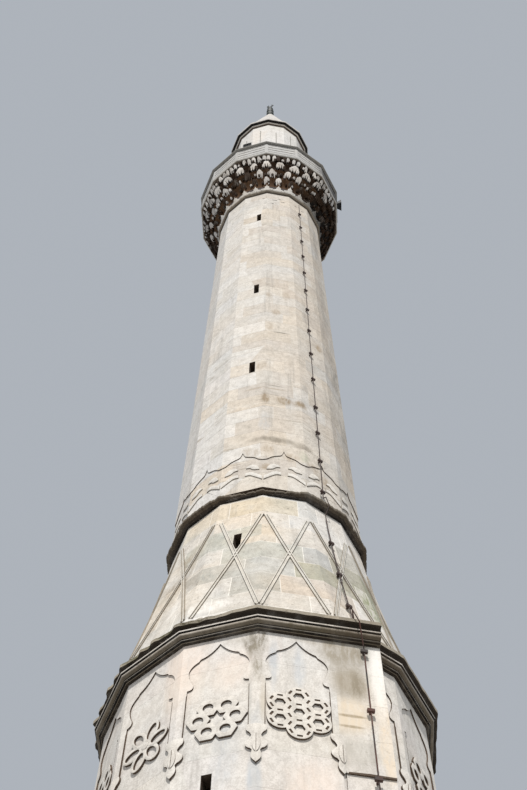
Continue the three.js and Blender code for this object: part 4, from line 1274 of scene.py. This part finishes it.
# %% Cornice of the tie
along, outward = face_directions(0)
side_on = [(r * FLAT, z) for r, z in CORNICE]
run = flat_shape("tie_cornice_run", [side_on], -0.75, 0.75)
for vertex in run.data.vertices:
    x, z, u = vertex.co
    mitre = x * math.tan(STEP / 2) + 0.002
    vertex.co = along * (0.75 if u > 0 else mitre) + outward * x
    vertex.co.z = z
# The run takes the cornice's bands, painted shade included, a fifth darker.
coloured(run, lambda face: [0.8 * channel for channel in band_colour(face, CORNICE_BANDS)])
finished(turned_outwards(run), moulded_stone, ["tie_cornice"], smooth=28)

# %% [markdown]
# The balcony rests on carved corbelling: rows of small niches, each row standing out over the one below, with
# stone points hanging between the niches. From the ground the hollows are black with soot and deep shade, and
# the rims and points are washed pale. So each row here is a dark scalloped body, coloured as soot and painted
# shade, and a row of pale brackets shaped like an arch on legs. Each bracket is cut from a flat outline,
# thickened and leant outwards, and no two are quite the same.

# %% Corbelling
CORBEL_RINGS = [(24.52, 1.098), (24.72, 1.15), (25.04, 1.26), (25.31, 1.375), (25.56, 1.475), (25.80, 1.55)]


def corbel_plan(angle):
    """Halfway between the fourteen-sided plan and a circle."""
    lean = angle % STEP - STEP / 2
    return 0.5 + 0.5 * FLAT / math.cos(lean)


def soot_and_shade(point):
    """Soot and painted shade round the corbelling: most at the sides and low down, least in front."""
    bearing = math.degrees(math.atan2(point.x, -point.y))
    right = (bearing - 38 - 60 * max(point.z - 24.9, 0)) / 30
    left = min((-bearing - 62) / 50, 0.8)
    return min(max(right, left, 0), 1) * min(max((178 - abs(bearing)) / 25, 0.3), 1)


SOOT_AND_SHADE, STAINED, WASHED_PALE = (0.014, 0.012, 0.011), (0.034, 0.018, 0.009), (0.84, 0.81, 0.77)
BODY_INSIDE = 0.805  # The radius of the hollow inside the corbelling.


def blended(first, second, share):
    return [a + (b - a) * share for a, b in zip(first, second)]


def is_open(edge):
    return len(edge.link_faces) == 1


def leant(angle, run, rise):
    """Across, up and front of a piece that leans outwards, at a bearing round the tower."""
    across = Vector((math.cos(angle), math.sin(angle), 0))
    outward = Vector((math.sin(angle), -math.cos(angle), 0))
    up = (outward * run + Vector((0, 0, rise))).normalized()
    return across, up, across.cross(up).normalized(), outward


def niche_body(name, low, high, cells, turn, depth, colour):
    """The dark body of one row: it leans out from one ring to the next, with a hollow in every cell."""
    (z0, r0), (z1, r1) = low, high
    around, up = cells * 8, 6
    bpy.ops.mesh.primitive_grid_add(x_subdivisions=around, y_subdivisions=up, size=2)
    body = bpy.context.object
    for vertex in body.data.vertices:
        angle = (vertex.co.x + 1) * math.pi
        t = (vertex.co.y + 1) / 2
        phase = abs(((angle / (2 * math.pi) * cells + turn) % 1) * 2 - 1)
        upright = math.sin(math.pi * min(t * 1.05, 1.0)) ** 0.7
        hollow = depth * upright * math.cos(phase * math.pi / 2) ** 0.8
        r = (r0 + (r1 - r0) * t - 0.03 - hollow) * corbel_plan(angle + STEP / 2)
        vertex.co = Vector((r * math.sin(angle), -r * math.cos(angle), z0 + 0.002 + (z1 - z0 - 0.004) * t))
    edited(body)
    bpy.ops.mesh.remove_doubles(threshold=0.0005)
    for rim in (z0 + 0.002, z1 - 0.002):
        edges_picked(body, lambda edge: is_open(edge) and all(abs(v.co.z - rim) < 1e-4 for v in edge.verts))
        bpy.ops.mesh.extrude_edges_move()
        mesh = bmesh.from_edit_mesh(body.data)
        for vertex in mesh.verts:
            if vertex.select:
                vertex.co.xy = outward_of(vertex.co).xy * BODY_INSIDE
        bmesh.update_edit_mesh(body.data)
    edges_picked(body, is_open)
    bpy.ops.mesh.bridge_edge_loops()
    bpy.ops.mesh.select_all(action="SELECT")
    bpy.ops.mesh.normals_make_consistent(inside=False)
    closed()
    body.name = body.data.name = name
    # The body darkens towards black with soot and painted shade, most at the sides and low down.
    return coloured(body, lambda face: blended(colour, SOOT_AND_SHADE, soot_and_shade(face.center)))


def bracket_outline(width, height, legs):
    """A rounded head on two legs and a short middle one."""
    w, h = width / 2, height
    foot = h * (1 - legs)
    right = [(0, h), (0.4 * w, 0.96 * h), (0.8 * w, 0.84 * h), (w, 0.66 * h), (0.98 * w, 0.5 * h)]
    right += [(x * w, foot + y * h) for x, y in ((0.86, 0.08), (0.68, 0), (0.55, 0.12), (0.5, 0.44),
                                                 (0.32, 0.48), (0.24, 0.22), (0.08, 0.08))]
    return right + [(-x, y) for x, y in reversed(right[1:])]


def row_of_brackets(low, high, cells, turn, share, drop, out, thick, pale, dice, tall=1.0):
    """Brackets round one row, leaning from the lower ring to the upper one, no two quite alike."""
    (z0, r0), (z1, r1) = low, high
    rise, run = z1 - z0 + drop, r1 - r0
    slope = math.hypot(rise, run) * tall
    row, models = [], []
    width = 2 * math.pi * r1 / cells * share
    for legs in (1.0, 0.9, 0.85, 0.75, 0.7):
        shape = [(x + dice.uniform(-0.05, 0.05) * width, y + dice.uniform(-0.05, 0.05) * slope)
                 for x, y in bracket_outline(width, slope, legs)]
        models.append(flat_shape("bracket", [shape], -thick, 0.0, 0.006))
    for i in range(cells):
        angle = 2 * math.pi * (i + turn + dice.uniform(-0.06, 0.06)) / cells
        across, up, front, outward = leant(angle, run, rise)
        foot = outward * (r0 * corbel_plan(angle + STEP / 2) + out) + Vector((0, 0, z0 - drop + 0.004))
        place = Matrix((across, up, front)).transposed().to_4x4()
        place.translation = foot
        bracket = copied(dice.choice(models))
        narrow = Matrix.Diagonal((dice.uniform(0.78, 1.05), 1, 1, 1))
        lean = Matrix.Rotation(math.radians(dice.uniform(-5, 5)), 4, "Z")
        bracket.data.transform(place @ lean @ narrow)
        # How much soot and painted shade lies at this bracket's foot.
        soot_and_shade_here = soot_and_shade(foot)
        washed = dice.random() < pale * (1 - 0.97 * soot_and_shade_here)
        if washed:
            bright = dice.uniform(0.55, 1.0) * (1 - 0.35 * soot_and_shade_here)
        else:
            bright = dice.uniform(0.0, 0.03) * (1 - soot_and_shade_here)
        light = blended(STAINED, WASHED_PALE, bright)
        # The side faces get a darker copy of the colour: painted shade.
        edge = blended(STAINED, WASHED_PALE, bright * 0.35)
        coloured(bracket, lambda face: edge if face.normal.dot(front) < LOOKS_OUT else light)
        row.append(bracket)
    for model in models:
        bpy.data.objects.remove(model)
    return row


# Each row: lower ring, cells, turn, share of the cell, how far the legs hang, how far out, thickness, the
# share that are washed pale, and the colour of the dark ground, which is soot and painted shade.
ROWS = [
    (1, 28, 0.0, 0.4, -0.08, -0.012, 0.05, 0.35, (0.1, 0.056, 0.03)),
    (2, 28, 0.5, 0.42, 0.0, -0.012, 0.06, 0.75, (0.085, 0.048, 0.026)),
    (3, 28, 0.0, 0.54, 0.04, -0.01, 0.07, 0.97, (0.045, 0.028, 0.018)),
    (4, 84, 0.5, 0.62, 0.02, -0.012, 0.04, 0.85, (0.04, 0.028, 0.02)),
]
# Small drops between the brackets: lower ring, turn, share of the cell, how far they hang, height, share
# washed.
DROPS = [
    (1, 0.3, 0.26, -0.12, 0.35, 0.35), (2, 0.25, 0.3, -0.12, 0.4, 0.6), (2, 0.8, 0.26, -0.02, 0.35, 0.45),
    (3, 0.5, 0.34, 0.0, 0.5, 0.65), (4, 0.2, 0.26, 0.0, 0.4, 0.7),
]
dice = random.Random(23)
brackets = []
for ring_number, cells, turn, share, drop, out, thick, pale, ground in ROWS:
    low, high = CORBEL_RINGS[ring_number], CORBEL_RINGS[ring_number + 1]
    body = niche_body(f"corbel_row_{ring_number}", low, high, cells, turn, 0.05, ground)
    finished(body, soot_and_shade_stone, [f"corbel_tier_{ring_number}"], smooth=35)
    brackets += row_of_brackets(low, high, cells, turn, share, drop, out, thick, pale, dice)
for ring_number, turn, share, drop, tall, pale in DROPS:
    low, high = CORBEL_RINGS[ring_number], CORBEL_RINGS[ring_number + 1]
    brackets += row_of_brackets(low, high, 56, turn, share, drop, 0.01, 0.05, pale, dice, tall)
finished(turned_outwards(joined(brackets, "corbel_brackets")), washed_stone, smooth=30)

# %% [markdown]
# Below the first row a ring of upright leaves stands on the collar, two to a face, pale against dark hollows.

# %% Leaves
leaf_foot, leaf_top = CORBEL_RINGS[0], CORBEL_RINGS[1]
LEAVES = 2 * SIDES
body = niche_body("leaf_course", leaf_foot, leaf_top, LEAVES, 0.5, 0.035, (0.13, 0.115, 0.115))
finished(body, soot_and_shade_stone, ["corbel_leaves"], smooth=35)
leaf_half = math.pi * 1.13 / LEAVES
leaf_right = [(0, 0.29), (0.016, 0.22), (0.05, 0.18), (0.04, 0.12), (0.085, 0.09), (leaf_half, 0.07)]
leaf_loop = mirrored(smoothed(leaf_right, 1) + [(leaf_half, 0)])
model = flat_shape("leaf", [leaf_loop], -0.04, 0.004, 0.004)
leaves = []
for i in range(LEAVES):
    angle = 2 * math.pi * i / LEAVES
    across, up, front, outward = leant(angle, leaf_top[1] - leaf_foot[1], leaf_top[0] - leaf_foot[0])
    place = Matrix((across, up, front)).transposed().to_4x4()
    r = leaf_foot[1] * corbel_plan(angle + STEP / 2) - 0.004
    place.translation = outward * r + Vector((0, 0, leaf_foot[0] + 0.003))
    standing = copied(model)
    standing.data.transform(place @ Matrix.Diagonal((1, dice.uniform(0.75, 1.0), 1, 1)))
    # Leaves darken with soot and painted shade, most at the sides.
    bright = dice.uniform(0.75, 1.0) * (1 - 0.75 * soot_and_shade(place.translation))
    leaves.append(coloured(standing, [bright * channel for channel in (0.74, 0.71, 0.66)]))
finished(turned_outwards(joined(leaves, "corbel_leaf_ring", [model])), washed_stone,
         smooth=30)

# %% [markdown]
# The parapet is a ring of stone panels between corner posts, under a moulded coping. A panel is a slab with a
# rail at its foot and head and three broad level slats between, and the gaps between them read as fine dark
# lines. One panel is made and copied to all fourteen sides.

# %% Parapet
panel_half = PARAPET_LINE[0][0] * math.sin(STEP / 2)
slab_width, inner_width = 2 * panel_half - 0.08, 2 * panel_half - 0.09
POST = (0.038, 0.717, -0.085, -0.001)
RAIL_BACK, SLAT_BACK = -0.05, -0.055
parts = [flat_shape("slab", [box_outline(0, 25.901, slab_width, 0.715)], -0.088, RAIL_BACK)]
for side in (1, -1):
    outline = box_outline(side * (panel_half - 0.0205), 25.901, POST[0], POST[1])
    parts.append(flat_shape("post", [outline], POST[2], POST[3], 0.003))
for z, height in ((25.902, 0.06), (26.575, 0.041)):
    parts.append(flat_shape("rail", [box_outline(0, z, inner_width, height)], RAIL_BACK, -0.001, 0.003))
for i in range(3):
    outline = box_outline(0, 25.995 + 0.195 * i, inner_width, 0.155)
    parts.append(flat_shape("slat", [outline], SLAT_BACK, -0.003, 0.003))
model = joined(parts, "parapet_model")
panels = [onto_face(copied(model), face, PARAPET_LINE) for face in range(SIDES)]
slabs = [f"parapet_slab_{number + 1:02d}" for number in range(SIDES)]
# The downward faces of the rails and slats are painted dark as shade, which darkens the lines between them.
finished(joined(panels, "parapet_panels", [model]), parapet_stone, slabs, hidden=painted_shade_stone,
         is_hidden=lambda face: face.normal.z < -0.7)

COPING = (
    [(1.455, 26.6202), (1.585, 26.6202), (1.588, 26.624)] + scroll(1.592, 26.626, 1.63, 26.648)
    + [(1.632, 26.652), (1.632, 26.684), (1.625, 26.694), (1.61, 26.699), (1.47, 26.6995), (1.455, 26.69)]
)
COPING_BANDS = [(26.0, (0.03, 0.028, 0.025)), (26.625, (0.26, 0.255, 0.24)), (26.642, (0.16, 0.155, 0.14)),
                (26.652, (0.3, 0.29, 0.27)), (26.684, (0.05, 0.048, 0.042))]
finished(run_moulding("coping_moulding", COPING, COPING_BANDS), collar_stone,
         ["parapet_coping"], smooth=28)

FLOOR_EDGE = (
    [(0.691, 25.8002), (1.552, 25.8002), (1.56, 25.802), (1.562, 25.815)]
    + scroll(1.564, 25.818, 1.58, 25.832)
    + [(1.58, 25.85), (1.572, 25.856), (1.572, 25.866), (1.58, 25.87), (1.58, 25.8985), (0.691, 25.8985)]
)
FLOOR_BANDS = [(25.0, (0.16, 0.13, 0.1)), (25.815, (0.56, 0.55, 0.52)), (25.856, (0.12, 0.11, 0.1)),
               (25.867, (0.58, 0.57, 0.54))]
finished(run_moulding("balcony_floor_slab", FLOOR_EDGE, FLOOR_BANDS), collar_stone,
         ["balcony_floor"], smooth=28)

# %% [markdown]
# A grey line runs up the middle of each face of the drum, where an upright joint has been pointed. The lines
# are strips a millimetre thick.

# %% Pointed joints of the drum
lines = []
for face in range(SIDES):
    line = flat_shape("drum_line", [box_outline(0, 27.2, 0.017, 3.4 + 0.3 * (face % 3))], -0.002, 0.001)
    lines.append(onto_face(coloured(line, (0.27, 0.265, 0.24)), face, DRUM))
finished(turned_outwards(joined(lines, "drum_joint_lines")), collar_stone)

# %% [markdown]
# The finial is beaten copper gone dark green: three swellings on a stem under a crescent. The model's knobs
# have few sides, so smooth ones are turned from the same sizes.

# %% Finial


def turned(name, outline, steps=40):
    """A profile from axis to axis, spun into a smooth round body."""
    body = spun(name, outline, steps, math.pi / 2)
    closed()
    return body


def knob(foot, top, r, neck=0.04, count=14):
    """The profile of a round swelling on a stem."""
    line = [(0, foot), (neck, foot)]
    for i in range(1, count):
        t = math.pi * i / count
        line.append((neck + (r - neck) * math.sin(t), foot + (top - foot) * (1 - math.cos(t)) / 2))
    return line + [(neck, top), (0, top)]


FINIAL_R = 0.115
base = [(0, 36.6602), (FINIAL_R, 36.6602), (FINIAL_R, 36.68), (0.106, 36.695), (0.088, 36.71), (0.072, 36.74),
        (0.058, 36.79), (0.048, 36.84), (0.045, 36.8595), (0, 36.8595)]
finished(turned("finial_foot", base), copper, ["finial_base"], smooth=40)
finished(turned("finial_knob_low", knob(36.86, 37.2595, 0.117)), copper,
         ["finial_lower_knob"], smooth=60)
finished(turned("finial_knob_high", knob(37.26, 37.6195, 0.114)), copper,
         ["finial_upper_knob"], smooth=60)
stem = [(0.02, 37.9), (0.016, 38.0), (0.0135, 38.252), (0, 38.252)]
top_knob = turned("finial_top_knob", knob(37.62, 37.9, 0.1)[:-1] + stem, 28)

# The moon lies between two circles, and its points rise on both sides of the stem.
MOON_R, HOLLOW_R, HOLLOW_UP, HORN = 0.11, 0.09, 0.02, 0.35 * math.pi
middle = 38.44 - MOON_R * math.sin(HORN)
hollow_horn = math.atan2(MOON_R * math.sin(HORN) - HOLLOW_UP, MOON_R * math.cos(HORN))
outer = [(MOON_R * math.cos(a), middle + MOON_R * math.sin(a))
         for a in (math.pi - HORN + (math.pi + 2 * HORN) * i / 48 for i in range(49))]
inner = [(HOLLOW_R * math.cos(a), middle + HOLLOW_UP + HOLLOW_R * math.sin(a))
         for a in (hollow_horn - (2 * hollow_horn + math.pi) * i / 40 for i in range(1, 40))]
moon = flat_shape("moon", [outer + inner], -0.011, 0.011, 0.0025)
moon.data.transform(Matrix.Rotation(math.pi / 2, 4, "X"))
finished(turned_outwards(joined([top_knob, moon], "finial_top")), copper,
         ["finial_crescent"], smooth=40)

# %% [markdown]
# The plinth, the lightning conductor and the loudspeakers keep the model's own shapes, and get their finishes
# here.

# %% Carried-over pieces
KEPT = {
    "plinth_slab": flat_stone, "conductor_on_shaft": iron, "conductor_on_storey": iron,
    "conductor_on_pedestal": rust, "loudspeaker_front": paint, "loudspeaker_right": paint,
    "loudspeaker_rear": paint, "loudspeaker_left": paint,
}
for name, material in KEPT.items():
    nodes[name].data.materials.clear()
    nodes[name].data.materials.append(material)
still_shown = [name for name, node in nodes.items() if not node.hide_render]
print("model pieces still shown:", sorted(still_shown))
assert set(still_shown) == set(KEPT), "a model piece has no finish"
